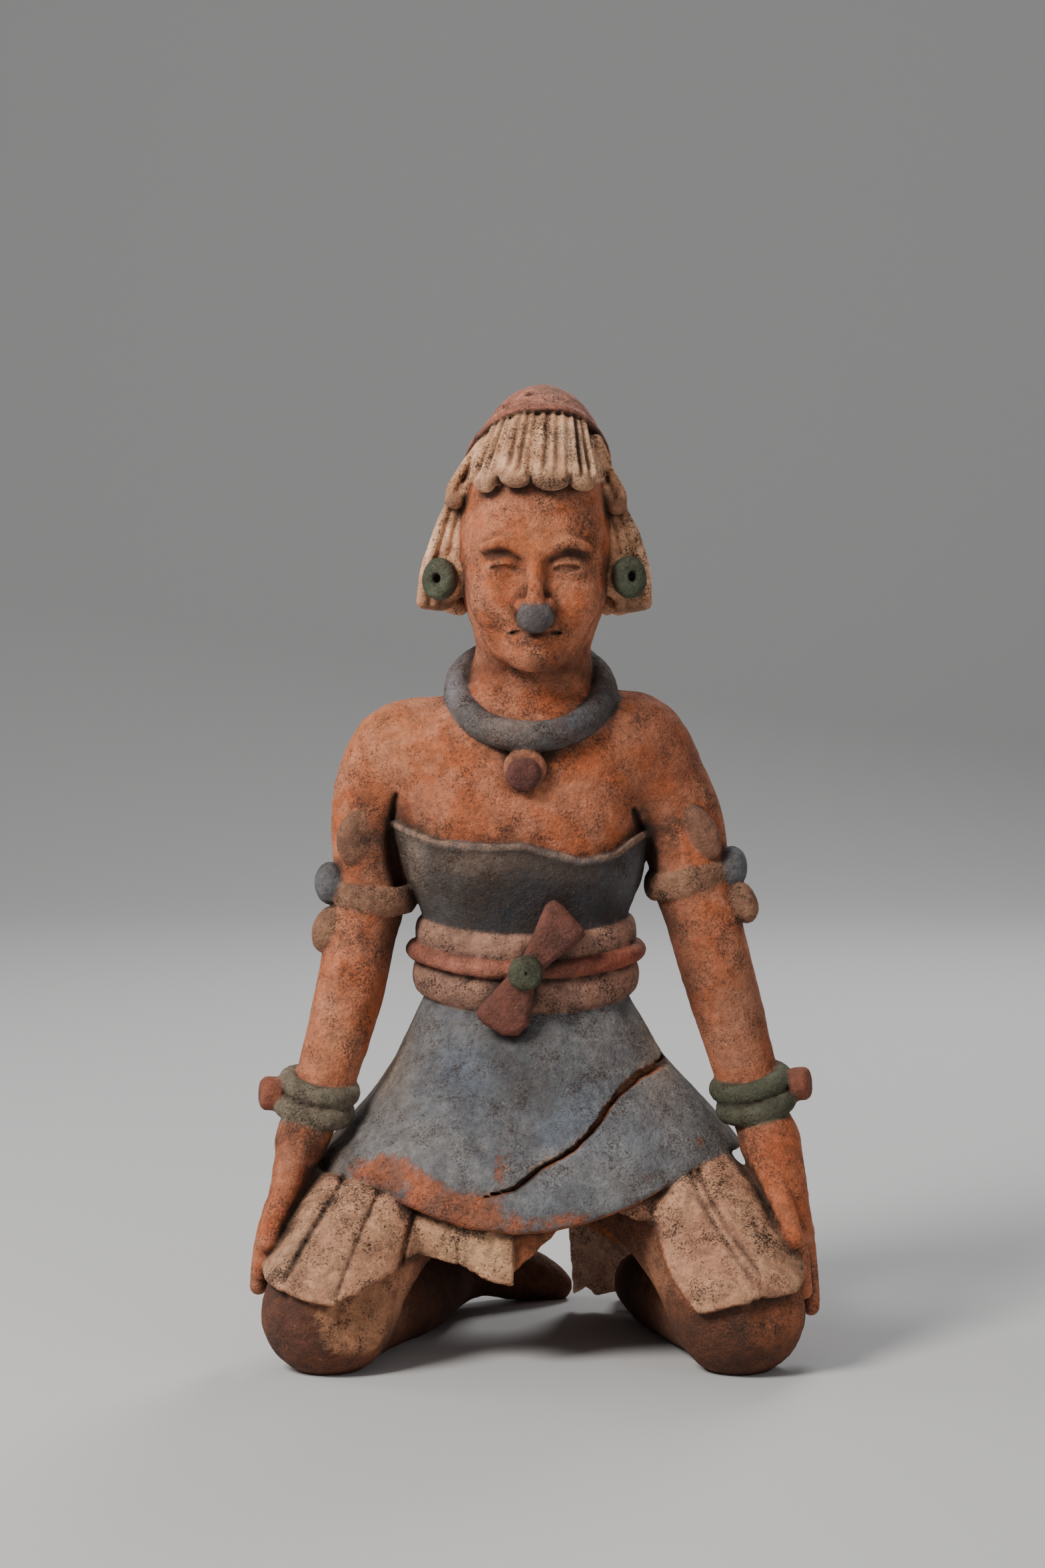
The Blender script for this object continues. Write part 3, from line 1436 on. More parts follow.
def vertex_places(mesh):
    return read_mesh(mesh.vertices, "co", 3).astype(float)


def vertex_normals(mesh):
    return read_mesh(mesh.vertices, "normal", 3).astype(float)


def edge_ends(mesh):
    return read_mesh(mesh.edges, "vertices", 2, np.int32).T


def move_vertices(mesh, places):
    mesh.vertices.foreach_set("co", places.astype(np.float32).ravel())
    mesh.update()


def thin_out(thing):
    """Takes triangles away until there are no more than wanted."""
    count = len(thing.data.polygons)
    if count <= MOST_TRIANGLES:
        return
    thin = thing.modifiers.new("thin", "DECIMATE")
    thin.ratio = MOST_TRIANGLES / count
    thin.use_collapse_triangulate = True
    graph = bpy.context.evaluated_depsgraph_get()
    mesh = bpy.data.meshes.new_from_object(thing.evaluated_get(graph))
    thing.modifiers.clear()
    old = thing.data
    thing.data = mesh
    bpy.data.meshes.remove(old)


def part_labels(mesh):
    """For each vertex, the lowest vertex number of the joined part that it is in."""
    a, b = edge_ends(mesh)
    labels = np.arange(len(mesh.vertices))
    while True:
        lowest = np.minimum(labels[a], labels[b])
        following = labels.copy()
        np.minimum.at(following, a, lowest)
        np.minimum.at(following, b, lowest)
        following = following[following]
        if np.array_equal(following, labels):
            return labels
        labels = following


def keep_one_part(mesh):
    """Leaves out sealed bubbles inside the clay and crumbs beside it."""
    labels = part_labels(mesh)
    main = np.bincount(labels).argmax()
    cut = bmesh.new()
    cut.from_mesh(mesh)
    cut.verts.ensure_lookup_table()
    loose = [cut.verts[i] for i in np.flatnonzero(labels != main)]
    bmesh.ops.delete(cut, geom=loose, context="VERTS")
    cut.to_mesh(mesh)
    cut.free()
    mesh.update()


LUMPS = ((0.22, 11, 1), (0.14, 5, 2))
PITS = ((0.09, 2.2, 5), (0.06, 1.1, 6))
CALM_FACE = 0.6


def roughen(mesh):
    """Uneven hand-worked clay: broad lumps and small pits along the normals, weaker on the face."""
    points = vertex_places(mesh)
    x, y, z = points.T
    calm = 1 - CALM_FACE * ease(z, 190, 198) * ease(-y, 12, 20) * ease(-z, -242, -238)
    shift = layered(x, y, z, LUMPS) * calm + layered(x, y, z, PITS) * (0.5 + 0.5 * calm)
    moved = points + vertex_normals(mesh) * shift[:, None]
    moved[:, 2] = np.maximum(moved[:, 2], 0.0)
    move_vertices(mesh, moved)


# Paint


def linear(rgb):
    c = np.array(rgb, float) / 255
    return np.where(c <= 0.04045, c / 12.92, ((c + 0.055) / 1.055) ** 2.4)


# Paint of each form: two tones that it varies between, how speckled, and how much clay shows
PAINTS = {
    "skin": ((196, 124, 92), (186, 98, 58), 0.95, 0.0),
    "knee": ((122, 72, 50), (84, 51, 38), 1.1, 0.05),
    "nose_bead": ((108, 100, 99), (84, 78, 79), 0.5, 0.0),
    "cap": ((214, 134, 110), (166, 104, 86), 1.3, 0.05),
    "hair": ((255, 200, 158), (216, 158, 119), 1.1, 0.0),
    "earspool": ((88, 92, 74), (70, 76, 60), 0.9, 0.0),
    "necklace": ((88, 84, 82), (108, 85, 76), 1.2, 0.03),
    "pendant_rim": ((168, 108, 80), (140, 88, 68), 0.6, 0.0),
    "pendant": ((108, 66, 58), (90, 56, 50), 0.7, 0.0),
    "bodice": ((54, 55, 57), (62, 56, 52), 1.1, 0.0),
    "bodice_rim": ((134, 116, 104), (108, 98, 96), 0.8, 0.0),
    "belt": ((178, 131, 109), (144, 108, 93), 1.2, 0.05),
    "cord": ((162, 96, 76), (130, 78, 64), 0.7, 0.05),
    "leaf": ((124, 76, 64), (104, 66, 57), 0.7, 0.0),
    "green": ((86, 88, 70), (68, 74, 58), 0.9, 0.0),
    "overskirt": ((126, 125, 125), (100, 102, 106), 0.95, 0.0),
    "underskirt": ((216, 162, 126), (186, 130, 102), 1.25, 0.0),
    "drape": ((172, 124, 102), (142, 100, 82), 0.9, 0.05),
    "inner_drape": ((244, 196, 168), (206, 156, 132), 0.8, 0.0),
    "raw": ((168, 100, 66), (128, 80, 56), 0.8, 0.0),
    "armband": ((160, 116, 90), (132, 94, 74), 1.3, 0.05),
    "arm_bead": ((108, 108, 110), (94, 92, 94), 0.7, 0.0),
    "petal": ((154, 110, 86), (130, 90, 72), 0.9, 0.05),
    "bracelet": ((128, 116, 98), (100, 96, 80), 1.0, 0.0),
    "wrist_green": ((98, 98, 80), (80, 82, 66), 1.0, 0.0),
    "end_bead": ((146, 86, 66), (118, 72, 58), 0.7, 0.0),
}
# Where a paint has another hue: the place, its reach in x, y and z, how much, and the hue
TINTS = {
    "overskirt": (
        ((-41, -4, 84), (7, 22, 17), 0.75, (148, 126, 102)),
        ((-53, -10, 62), (9, 16, 9), 0.45, (128, 114, 100)),
        ((36, -4, 88), (7, 22, 16), 0.75, (152, 130, 104)),
        ((54, -16, 62), (9, 16, 9), 0.5, (126, 112, 98)),
        ((-12, -30, 87), (17, 16, 8), 0.5, (92, 88, 86)),
        ((-15, -40, 73), (9, 14, 7), 0.4, (108, 120, 134)),
        ((2, -36, 77), (22, 16, 11), 0.8, (74, 74, 75)),
        ((16, -48, 57), (18, 16, 8), 0.5, (140, 136, 134)),
        ((14, -40, 75), (7, 14, 6), 0.45, (106, 117, 130)),
        ((28, -42, 66), (12, 14, 9), 0.55, (146, 149, 154)),
        ((8, -52, 49), (9, 14, 4), 0.45, (122, 130, 138)),
        ((24, -35, 92), (7, 14, 9), 0.7, (138, 114, 104)),
        ((37, -35, 77), (7, 14, 9), 0.6, (146, 122, 110)),
        ((-21, -36, 83), (8, 14, 7), 0.6, (106, 122, 142)),
        ((10, -44, 66), (9, 14, 6), 0.55, (106, 122, 140)),
        ((-34, -40, 62), (8, 14, 5), 0.5, (142, 136, 132)),
        ((-60, -4, 56), (9, 20, 7), 0.8, (166, 144, 122)),
        ((-58, -12, 54), (9, 16, 5), 0.6, (134, 112, 92)),
        ((0, 44, 66), (60, 14, 26), 0.3, (122, 112, 102)),
    ),
    "bodice": (
        ((-12, -28, 139), (16, 16, 3.6), 0.6, (118, 96, 82)),
        ((12, -28, 135), (10, 16, 3.2), 0.45, (112, 94, 82)),
        ((24, -22, 132), (6, 16, 8), 0.5, (98, 99, 104)),
        ((6, -26, 127), (14, 16, 6), 0.5, (56, 60, 72)),
        ((-26, -20, 126), (6, 14, 9), 0.45, (108, 102, 98)),
        ((-34, -16, 138), (4, 14, 12), 0.8, (156, 136, 122)),
        ((-18, -26, 137), (9, 14, 4), 0.55, (132, 112, 98)),
        ((29, -20, 130), (4, 14, 12), 0.7, (122, 118, 120)),
    ),
    "necklace": (
        ((-21, -8, 188), (6, 14, 10), 0.75, (140, 136, 140)),
        ((-6, -24, 177), (8, 10, 4), 0.6, (156, 136, 126)),
        ((12, -22, 177), (7, 10, 5), 0.5, (92, 100, 112)),
    ),
    "cord": (
        ((-22, -30, 106), (16, 16, 6), 0.7, (210, 138, 114)),
        ((26, -26, 108), (10, 16, 6), 0.6, (178, 86, 66)),
    ),
    "hair": (
        ((0, -28, 242.6), (24, 10, 2.8), 0.9, (126, 88, 68)),
        ((12, -26, 255), (5, 9, 7), 0.4, (182, 170, 148)),
        ((-23, -12, 237), (7, 10, 4), 0.8, (136, 94, 72)),
        ((24, -12, 236), (7, 10, 5), 0.75, (142, 90, 70)),
        ((-24, -8, 208), (10, 10, 4), 0.85, (108, 76, 60)),
        ((29, -8, 207), (9, 10, 4), 0.75, (120, 86, 68)),
    ),
    "cap": (
        ((5, -12, 268), (10, 14, 4), 0.6, (172, 130, 110)),
        ((-10, -20, 260), (7, 12, 4), 0.5, (216, 128, 98)),
        ((-19, -10, 251), (5, 12, 6), 0.6, (126, 90, 76)),
        ((20, -8, 252), (5, 12, 8), 0.6, (132, 74, 60)),
    ),
    "skin": (
        ((-42, -8, 172), (15, 18, 12), 0.5, (212, 142, 102)),
        ((38, -6, 166), (14, 20, 16), 0.75, (124, 68, 46)),
        ((-4, -26, 152), (22, 16, 8), 0.35, (198, 118, 84)),
        ((58, -14, 92), (11, 16, 24), 0.65, (132, 92, 72)),
        ((-46, -8, 106), (7, 14, 8), 0.4, (200, 106, 64)),
        ((-56, -14, 88), (7, 14, 12), 0.6, (214, 150, 114)),
        ((48, -8, 116), (8, 14, 10), 0.4, (190, 104, 66)),
        ((70, -38, 46), (8, 10, 9), 0.6, (198, 106, 62)),
        ((-72, -38, 44), (5, 8, 12), 0.5, (200, 104, 62)),
        ((-64, -22, 60), (9, 16, 10), 0.75, (124, 84, 66)),
        ((-76, -26, 52), (5, 12, 10), 0.6, (202, 110, 68)),
        ((60, -24, 64), (8, 14, 7), 0.6, (150, 98, 76)),
        ((66, -28, 58), (6, 12, 7), 0.6, (196, 102, 62)),
        ((-38, -12, 141), (8.5, 16, 14), 0.9, (50, 34, 27)),
        ((34, -10, 141), (6, 14, 10), 0.75, (90, 58, 44)),
        ((-38, -8, 117), (7, 20, 18), 0.9, (58, 37, 28)),
        ((38, -6, 119), (5.5, 20, 10), 0.85, (64, 42, 32)),
        ((43, -8, 102), (5, 20, 12), 0.8, (72, 47, 35)),
        ((0.5, -24, 226), (14, 14, 9), 0.4, (216, 132, 84)),
        ((0.5, -28, 199), (15, 16, 9), 0.35, (184, 112, 78)),
    ),
    "underskirt": (
        ((-64, -46, 36), (9, 16, 12), 0.5, (156, 122, 94)),
        ((-46, -52, 34), (8, 18, 12), 0.45, (186, 134, 102)),
        ((-16, -48, 33), (13, 12, 8), 0.6, (222, 180, 132)),
        ((44, -48, 36), (8, 16, 12), 0.5, (206, 146, 116)),
        ((64, -44, 32), (9, 16, 13), 0.5, (176, 134, 102)),
    ),
    "knee": (
        ((-66, -50, 14), (9, 14, 11), 0.6, (98, 64, 56)),
        ((58, -60, 8), (16, 14, 9), 0.5, (84, 52, 38)),
        ((64, -56, 15), (7, 14, 6), 0.6, (176, 106, 70)),
        ((-50, -58, 6), (8, 14, 4), 0.5, (160, 86, 54)),
        ((-54, -56, 3), (16, 14, 6), 0.5, (104, 64, 46)),
        ((36, -30, 26), (8, 16, 10), 0.8, (216, 150, 112)),
        ((-36, -44, 22), (8, 14, 11), 0.75, (216, 152, 116)),
        ((70, -54, 18), (6, 14, 6), 0.6, (190, 112, 76)),
        ((-22, 8, 12), (14, 26, 12), 0.75, (64, 42, 30)),
        ((-34, -18, 8), (9, 20, 10), 0.5, (84, 54, 38)),
        ((28, 8, 12), (12, 26, 14), 0.75, (56, 38, 28)),
        ((2, 54, 8), (14, 9, 10), 0.6, (92, 60, 44)),
    ),
}
RUBBED_HUE = (206, 146, 108)
# Where dirt has gathered: place, reach, how much
GRIME = (
    ((-42, -12, 142), 8, 1.0),
    ((-36, -14, 133), 6, 0.7),
    ((-46, -14, 113), 7, 0.7),
    ((-49, -10, 152), 5, 0.5),
    ((-55, -16, 90), 6, 0.6),
    ((-20, -22, 171), 6, 0.5),
    ((-12, -26, 167), 4, 0.45),
    ((-3, -28, 147), 8, 0.5),
    ((17, -26, 145), 6, 0.35),
    ((33, -8, 142), 7, 0.9),
    ((41, -12, 146), 4, 0.9),
    ((46, -14, 121), 5, 0.35),
    ((0.5, -28, 200), 11, 0.45),
    ((-15, -20, 207), 7, 0.4),
    ((16, -20, 228), 6, 0.35),
    ((-68, -50, 12), 9, 0.6),
    ((-60, -58, 5), 8, 0.45),
    ((62, -58, 12), 11, 0.5),
    ((40, -46, 14), 8, 0.4),
    ((-66, -24, 62), 8, 0.7),
    ((-60, -24, 52), 6, 0.7),
    ((60, -26, 60), 7, 0.5),
    ((60, -24, 50), 5, 0.5),
    ((76, -36, 20), 7, 0.4),
    ((-70, -50, 26), 6, 0.5),
    ((30, -44, 42), 6, 0.6),
    ((-10, 42, 12), 22, 0.4),
    ((2, 26, 240), 16, 0.3),
)


def nearest_paints(field, points):
    """The paints' names, and how far each point lies from the nearest form in each paint."""
    names = sorted(PAINTS)
    gaps = np.full((len(names), len(points)), FAR, np.float32)
    for paint, shape in field.parts:
        near = np.all((points > shape.low - 3) & (points < shape.high + 3), axis=1)
        if not near.any():
            continue
        row = names.index(paint)
        x, y, z = points[near].astype(np.float32).T
        gaps[row, near] = np.minimum(gaps[row, near], shape.distance(x, y, z))
    return names, gaps


PLEAT_GREY = (92, 86, 82)


def reach_share(points, place, reach):
    """From 1 at a place down to 0 well beyond its reach."""
    gap = (points - np.array(place)) / np.array(reach)
    return np.exp(-(gap**2).sum(axis=1))


def toward(tones, hue, share, lights=(1.0, 1.0)):
    """Both tones moved towards a hue by a share, the hue made lighter or darker for each."""
    hues = [linear(hue) * light for light in lights]
    return [tone + (goal - tone) * share[:, None] for tone, goal in zip(tones, hues)]


def tinted(points, chosen, tones):
    for name, places in TINTS.items():
        for place, reach, amount, hue in places:
            share = amount * reach_share(points, place, reach) * (chosen == name)
            tones = toward(tones, hue, share, (1.06, 0.88))
    x, y, z = points.T
    on_flat = ease(-np.abs(knee_plane()(x, y, z)), -0.7, -0.3)
    rubbed = on_flat * (chosen == "knee") * (y < -50) * (x < -30)
    tones = toward(tones, RUBBED_HUE, 0.8 * rubbed * ease(z, 5, 9), (1.0, 0.8))
    return toward(tones, PLEAT_GREY, 0.5 * pleat_lines(points, chosen))


def pleat_lines(points, chosen):
    """1 on the dark lines of the underskirt's pleats."""
    x, y, z = points.T
    nearest = np.full(len(points), FAR)
    for line in LEFT_PLEATS + RIGHT_PLEATS:
        nearest = np.minimum(nearest, line_distance(x, z, line)[0])
    return np.exp(-((nearest / 0.55) ** 2)) * (chosen == "underskirt") * (y < -14)


def grime_values(points, chosen):
    x, y, z = points.T
    total = 0.5 * pleat_lines(points, chosen)
    for place, reach, amount in GRIME:
        total = total + amount * reach_share(points, place, reach)
    under_hem = (chosen == "underskirt") * np.exp(-np.maximum(hem_height(x, y) - z, 0) / 3.0)
    uneven = 0.75 + 0.5 * noise(x, y, z, 4.0, 11)
    return np.clip((total + 0.45 * under_hem) * uneven, 0, 1.3)


# How much of its own value a vertex keeps each time
OWN_SHARE = 0.4


def smoothed(mesh, values, times):
    """Evens values out between neighbouring vertices."""
    a, b = edge_ends(mesh)
    size = len(values)
    count = np.maximum(np.bincount(a, minlength=size) + np.bincount(b, minlength=size), 1)
    for _ in range(times):
        beside = np.bincount(a, values[b], size) + np.bincount(b, values[a], size)
        values = OWN_SHARE * values + (1 - OWN_SHARE) * beside / count
    return values


# How far one paint fades into the next
PAINT_BLEND = 0.12


def paint_values(field, points):
    """The two tones, speckle and bare clay of each point, and the paint nearest to it."""
    names, gaps = nearest_paints(field, points)
    share = np.exp(-(gaps - gaps.min(axis=0)) / PAINT_BLEND)
    share /= share.sum(axis=0)
    tables = [np.array([linear(PAINTS[n][k]) for n in names]) for k in (0, 1)]
    tones = [share.T @ table for table in tables]
    speckle, bare = (share.T @ np.array([PAINTS[n][k] for n in names]) for k in (2, 3))
    chosen = np.array(names)[gaps.argmin(axis=0)]
    return tinted(points, chosen, tones), speckle, bare, chosen


def crevices(field, points, normals):
    """How closed in each point is, close by and further off, and how much it stands out."""
    close = np.clip(1 - field.read(points + normals * 1.3) / 1.3, 0, 1)
    wide = np.clip(1 - field.read(points + normals * 3.6) / 3.6, 0, 1)
    edge = np.clip(1 + field.read(points - normals * 1.6) / 1.6, 0, 1)
    return close, wide, edge


# Places on the overskirt where paint has worn to bare clay: x, z, width, height, how much
WORN_PLACES = (
    (-47, 53, 7, 4, 0.5),
    (-38, 56, 8, 6, 0.62),
    (-30, 51, 8, 6, 0.62),
    (-22, 45, 9, 4.5, 0.64),
    (-14, 46, 8, 5, 0.58),
    (-9, 57, 3.2, 8, 0.62),
    (-4, 42, 14, 3.0, 0.5),
    (10, 43.5, 7, 3, 0.42),
    (31, 53, 5, 3, 0.3),
    (38, 56, 4, 2.5, 0.34),
    (46, 60, 5, 2.6, 0.34),
    (18, 46.5, 6, 2.2, 0.34),
    (24, 50, 6, 2, 0.3),
    (6, 74, 6, 2, 0.26),
    (24, 62, 9, 4, 0.12),
)


def wear_values(points, chosen, bare):
    x, y, z = points.T
    wear = np.array(bare)
    front = (chosen == "overskirt") & (y < -4)
    for px, pz, wide, tall, amount in WORN_PLACES:
        gap = ((x - px) / wide) ** 2 + ((z - pz) / tall) ** 2
        wear = wear + front * amount * np.exp(-gap)
    over_hem = np.maximum(z - hem_height(x, y), 0)
    rim = 0.22 * np.exp(-over_hem / 2.4) + 0.42 * np.exp(-over_hem / 1.1)
    return wear + (chosen == "overskirt") * rim


def inside_cloth(points, normals, chosen):
    """The unseen inner faces of the skirts, which were never painted."""
    x, y, z = points.T
    inward = normals[:, 0] * x + normals[:, 1] * y < -0.1 * np.hypot(x, y)
    cloth = np.isin(chosen, ("overskirt", "underskirt", "drape"))
    return cloth & (inward | (normals[:, 2] < -0.55)) & (z < 84)


def in_crack(points, chosen):
    """The broken faces of the crack, which show the clay."""
    x, y, z = points.T
    return (chosen == "overskirt") & (crack_gap(x, y, z) < 0.12) & (y < -2)


def write_attribute(mesh, name, values):
    if values.ndim == 1:
        layer = mesh.attributes.new(name, "FLOAT", "POINT")
        layer.data.foreach_set("value", values.astype(np.float32))
        return
    layer = mesh.attributes.new(name, "FLOAT_COLOR", "POINT")
    whole = np.ones((len(values), 4), np.float32)
    whole[:, :3] = values
    layer.data.foreach_set("color", whole.ravel())


def paint(field, mesh):
    points, normals = vertex_places(mesh), vertex_normals(mesh)
    tones, speckle, bare, chosen = paint_values(field, points)
    broken = in_crack(points, chosen)
    hidden = inside_cloth(points, normals, chosen) | broken
    inner_back = hidden & (points[:, 1] > 20) & (chosen == "drape")
    for k, tone in enumerate(tones):
        tone[hidden] = linear(PAINTS["raw"][k])
        tone[inner_back] = linear(PAINTS["inner_drape"][k])
    close, wide, edge = (smoothed(mesh, v, 2) for v in crevices(field, points, normals))
    close = close * (1 - 0.45 * broken - 0.25 * (chosen == "hair") - 0.6 * inner_back)
    wide = wide * (1 - 0.5 * np.isin(chosen, ("overskirt", "hair")) - 0.8 * inner_back)
    layers = {
        "tone_a": tones[0],
        "tone_b": tones[1],
        "speckle": speckle,
        "wear": wear_values(points, chosen, bare),
        "crevice": close,
        "hollow": wide,
        "edge": edge,
        "grime": smoothed(mesh, grime_values(points, chosen) * (1 - 0.7 * inner_back), 1),
    }
    for name, values in layers.items():
        write_attribute(mesh, name, values)


# Material


class Nodes:
    """Short names for the nodes of one material."""

    def __init__(self, material):
        material.use_nodes = True
        self.tree = material.node_tree
        self.tree.nodes.clear()
        self.place = self.new("ShaderNodeTexCoord").outputs["Object"]

    def new(self, kind, **values):
        node = self.tree.nodes.new(kind)
        for name, value in values.items():
            setattr(node, name, value)
        return node

    def connect(self, value, socket):
        if isinstance(value, bpy.types.NodeSocket):
            self.tree.links.new(value, socket)
        else:
            socket.default_value = value

    def attribute(self, name, output="Fac"):
        return self.new("ShaderNodeAttribute", attribute_name=name).outputs[output]

    def noise(self, scale, detail=3.0, rough=0.6, warp=0.0):
        node = self.new("ShaderNodeTexNoise")
        self.connect(self.place, node.inputs["Vector"])
        node.inputs["Scale"].default_value = scale
        node.inputs["Detail"].default_value = detail
        node.inputs["Roughness"].default_value = rough
        node.inputs["Distortion"].default_value = warp
        return node.outputs["Fac"]

    def math(self, operation, a, b=0.5):
        node = self.new("ShaderNodeMath", operation=operation)
        self.connect(a, node.inputs[0])
        self.connect(b, node.inputs[1])
        return node.outputs[0]

    def times(self, a, b):
        return self.math("MULTIPLY", a, b)

    def plus(self, a, b):
        return self.math("ADD", a, b)

    def ramp(self, value, low, high, out_low=0.0, out_high=1.0):
        node = self.new("ShaderNodeMapRange", interpolation_type="SMOOTHSTEP")
        self.connect(value, node.inputs["Value"])
        numbers = {"From Min": low, "From Max": high, "To Min": out_low, "To Max": out_high}
        for name, number in numbers.items():
            node.inputs[name].default_value = number
        return node.outputs["Result"]

    def grey(self, value):
        node = self.new("ShaderNodeCombineColor")
        for socket in node.inputs:
            self.connect(value, socket)
        return node.outputs[0]

    def mix(self, share, a, b, blend="MIX"):
        node = self.new("ShaderNodeMix", data_type="RGBA", blend_type=blend)
        self.connect(share, node.inputs["Factor"])
        self.connect(a, node.inputs[6])
        self.connect(b, node.inputs[7])
        return node.outputs[2]


def rgba(rgb):
    return (*[float(v) for v in linear(rgb)], 1.0)


# The clay where paint is gone, and what lies on the paint
BARE_CLAY = rgba((188, 102, 60))
DARK_CLAY = rgba((142, 86, 60))
RUBBED_EDGE = rgba((200, 150, 116))
STAIN = rgba((72, 55, 46))
DARK_GRAIN = rgba((58, 45, 38))
PALE_GRAIN = rgba((208, 178, 148))
GAP_DIRT = rgba((46, 35, 30))
HOLLOW_DIRT = rgba((60, 46, 38))


def worn_paint(n):
    """Two tones in patches, worn through to the clay in places and rubbed along edges."""
    patches = n.plus(n.times(n.noise(70, 4, 0.6, 0.4), 0.6), n.times(n.noise(210, 4), 0.4))
    tones = n.attribute("tone_a", "Color"), n.attribute("tone_b", "Color")
    colour = n.mix(n.ramp(patches, 0.42, 0.60, 0.0, 0.9), *tones)
    bare = n.mix(n.ramp(n.noise(140, 3), 0.4, 0.65), BARE_CLAY, DARK_CLAY)
    ragged_wear = n.times(n.math("SUBTRACT", n.noise(120, 8, 0.74, 0.3), 0.5), 2.0)
    worn = n.ramp(n.plus(n.attribute("wear"), ragged_wear), 0.36, 0.76)
    colour = n.mix(n.times(worn, 0.85), colour, bare)
    rub = n.ramp(n.times(n.attribute("edge"), n.noise(260, 4, 0.7)), 0.18, 0.42, 0.0, 0.5)
    return n.mix(rub, colour, RUBBED_EDGE), worn


def speckled(n, colour):
    """Mottling, stains, and dark and pale grains on the paint."""
    speckle, grime = n.attribute("speckle"), n.attribute("grime")
    mottle = n.ramp(n.noise(460, 6, 0.78), 0.3, 0.7, 0.74, 1.2)
    colour = n.mix(1.0, colour, n.grey(mottle), "MULTIPLY")
    amount = n.plus(n.times(speckle, 0.28), n.times(grime, 0.8))
    stain = n.times(n.ramp(n.noise(150, 6, 0.72, 0.5), 0.44, 0.62), amount)
    colour = n.mix(n.math("MINIMUM", stain, 0.85), colour, STAIN)
    cluster = n.times(n.math("SUBTRACT", n.noise(120, 4), 0.5), 0.5)
    level = n.plus(n.noise(1500, 5, 0.8), n.plus(cluster, n.times(grime, 0.1)))
    colour = n.mix(n.times(n.ramp(level, 0.5, 0.66, 0.0, 0.85), speckle), colour, DARK_GRAIN)
    pale = n.plus(n.noise(1150, 3, 0.7), n.times(n.noise(90, 3), 0.3))
    return n.mix(n.ramp(pale, 0.77, 0.93, 0.0, 0.3), colour, PALE_GRAIN)


def dirtied(n, colour):
    """Dirt in narrow gaps, and uneven in wide hollows."""
    dirt = n.ramp(n.attribute("crevice"), 0.12, 0.66)
    colour = n.mix(n.times(dirt, 0.8), colour, GAP_DIRT)
    uneven = n.ramp(n.noise(240, 4), 0.3, 0.6, 0.5, 1.1)
    shade = n.ramp(n.times(n.attribute("hollow"), uneven), 0.12, 0.8)
    return n.mix(n.times(shade, 0.55), colour, HOLLOW_DIRT)


def grainy_bump(n, worn):
    relief = n.plus(n.noise(1300, 3, 0.7), n.times(n.noise(420, 3), 1.6))
    bump = n.new("ShaderNodeBump")
    bump.inputs["Strength"].default_value = 0.7
    bump.inputs["Distance"].default_value = 0.0007
    n.connect(n.math("SUBTRACT", relief, n.times(worn, 0.5)), bump.inputs["Height"])
    return bump.outputs["Normal"]


def painted_clay():
    material = bpy.data.materials.new("painted_terracotta")
    n = Nodes(material)
    colour, worn = worn_paint(n)
    shader = n.new("ShaderNodeBsdfPrincipled")
    n.connect(dirtied(n, speckled(n, colour)), shader.inputs["Base Color"])
    n.connect(n.ramp(n.noise(300, 3), 0.3, 0.7, 0.82, 0.98), shader.inputs["Roughness"])
    shader.inputs["Specular IOR Level"].default_value = 0.3
    n.connect(grainy_bump(n, worn), shader.inputs["Normal"])
    n.connect(shader.outputs["BSDF"], n.new("ShaderNodeOutputMaterial").inputs["Surface"])
    return material


# Stage, lights and camera
FLOOR_FRONT = -3.0
FLOOR_BACK = 1.1
SWEEP_RADIUS = 0.8
BACKDROP_TOP = 3.2
FLOOR_HALF = 3.5
SWEEP_STEPS = 16


def new_object(name, data):
    thing = bpy.data.objects.new(name, data)
    bpy.context.scene.collection.objects.link(thing)
    return thing


def pale_floor():
    material = bpy.data.materials.new("pale_floor")
    material.use_nodes = True
    shader = material.node_tree.nodes["Principled BSDF"]
    shader.inputs["Base Color"].default_value = (0.6, 0.6, 0.6, 1)
    shader.inputs["Roughness"].default_value = 0.9
    return material


def make_floor():
    """A pale floor that turns up into a backdrop far behind the figure."""
    profile = [(FLOOR_FRONT, 0.0)]
    for i in range(SWEEP_STEPS + 1):
        a = math.pi / 2 * i / SWEEP_STEPS
        profile.append((FLOOR_BACK + SWEEP_RADIUS * math.sin(a), SWEEP_RADIUS * (1 - math.cos(a))))
    profile.append((FLOOR_BACK + SWEEP_RADIUS, BACKDROP_TOP))
    corners = [(x, y, z) for y, z in profile for x in (-FLOOR_HALF, FLOOR_HALF)]
    faces = [(2 * i, 2 * i + 1, 2 * i + 3, 2 * i + 2) for i in range(len(profile) - 1)]
    mesh = bpy.data.meshes.new("floor")
    mesh.from_pydata(corners, [], faces)
    mesh.polygons.foreach_set("use_smooth", np.ones(len(faces), bool))
    floor = new_object("floor", mesh)
    mesh.materials.append(pale_floor())


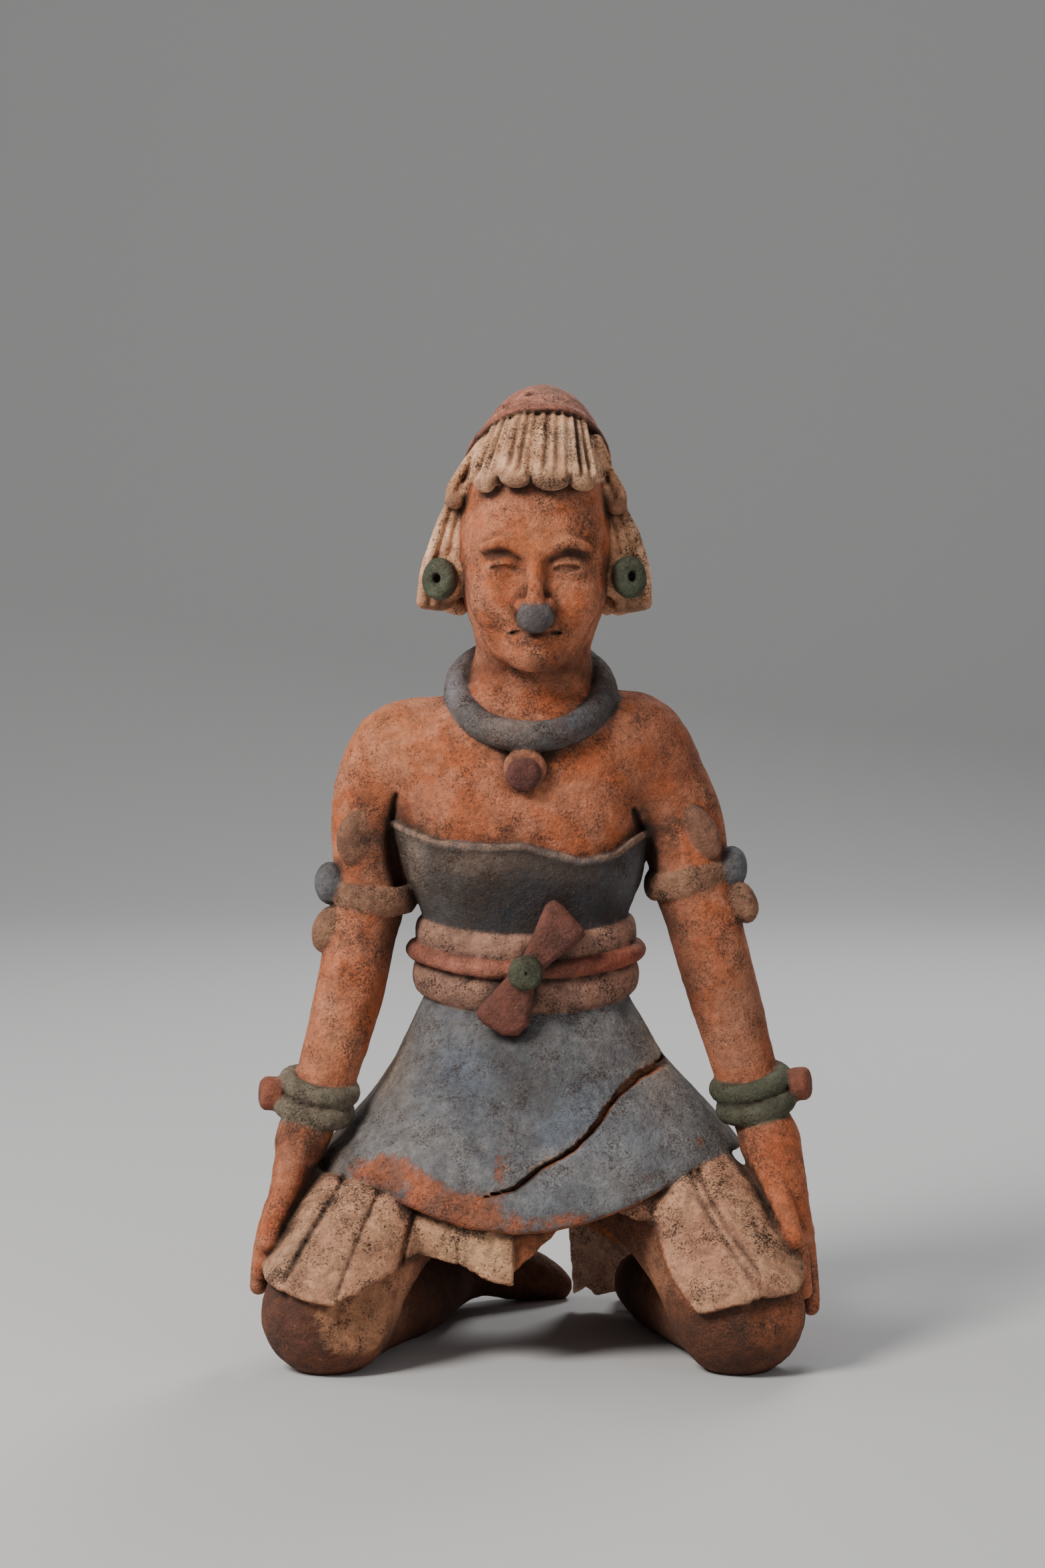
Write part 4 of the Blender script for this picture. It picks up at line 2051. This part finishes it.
# Lights: name, place, target, size, power and colour
LIGHTS = (
    ("key", (-0.62, -0.62, 0.85), (0, 0, 0.14), 0.42, 13.4, (1.0, 0.97, 0.93)),
    ("side", (-0.9, 0.25, 0.4), (0, 0, 0.08), 0.4, 2.2, (1.0, 0.98, 0.96)),
    ("fill", (0.9, -0.8, 0.5), (0, 0, 0.12), 0.6, 1.5, (1, 1, 1)),
    ("back", (0.3, 0.9, 0.8), (0, 0, 0.15), 0.4, 6, (1, 1, 1)),
)
ROOM_COLOUR = (0.78, 0.79, 0.81, 1)
ROOM_STRENGTH = 0.26


def make_lights():
    world = bpy.data.worlds.new("soft_room")
    world.use_nodes = True
    background = world.node_tree.nodes["Background"]
    background.inputs["Color"].default_value = ROOM_COLOUR
    background.inputs["Strength"].default_value = ROOM_STRENGTH
    bpy.context.scene.world = world
    for name, place, target, size, power, colour in LIGHTS:
        data = bpy.data.lights.new(name, "AREA")
        data.shape = "DISK"
        data.size = size
        data.energy = power
        data.color = colour
        light = new_object(name, data)
        light.location = place
        direction = Vector(target) - light.location
        light.rotation_euler = direction.to_track_quat("-Z", "Y").to_euler()


CAMERA_PLACE = (-3.0, -1224.0, 254.2)
CAMERA_TILT = 4.5
CAMERA_LENS = 100.0
SENSOR_WIDTH = 36.0


def make_camera():
    data = bpy.data.cameras.new("photo_view")
    data.lens = CAMERA_LENS
    data.sensor_width = SENSOR_WIDTH
    camera = new_object("photo_view", data)
    camera.location = (np.array(CAMERA_PLACE) + ROW_SHIFT) * MM
    camera.rotation_euler = (math.radians(90 - CAMERA_TILT), 0, 0)
    bpy.context.scene.camera = camera


# Put together


def make_figure_object():
    field = make_figure()
    mesh = new_mesh("painted_figure", *surface(field.values))
    roughen(mesh)
    thing = new_object("painted_figure", mesh)
    thin_out(thing)
    mesh = thing.data
    keep_one_part(mesh)
    paint(field, mesh)
    move_vertices(mesh, (vertex_places(mesh) + ROW_SHIFT) * MM)
    mesh.polygons.foreach_set("use_smooth", np.ones(len(mesh.polygons), bool))
    mesh.materials.clear()
    mesh.materials.append(painted_clay())
    return thing


figure = make_figure_object()
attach(figure, "root")
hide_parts(NODE)
make_floor()
make_lights()
make_camera()
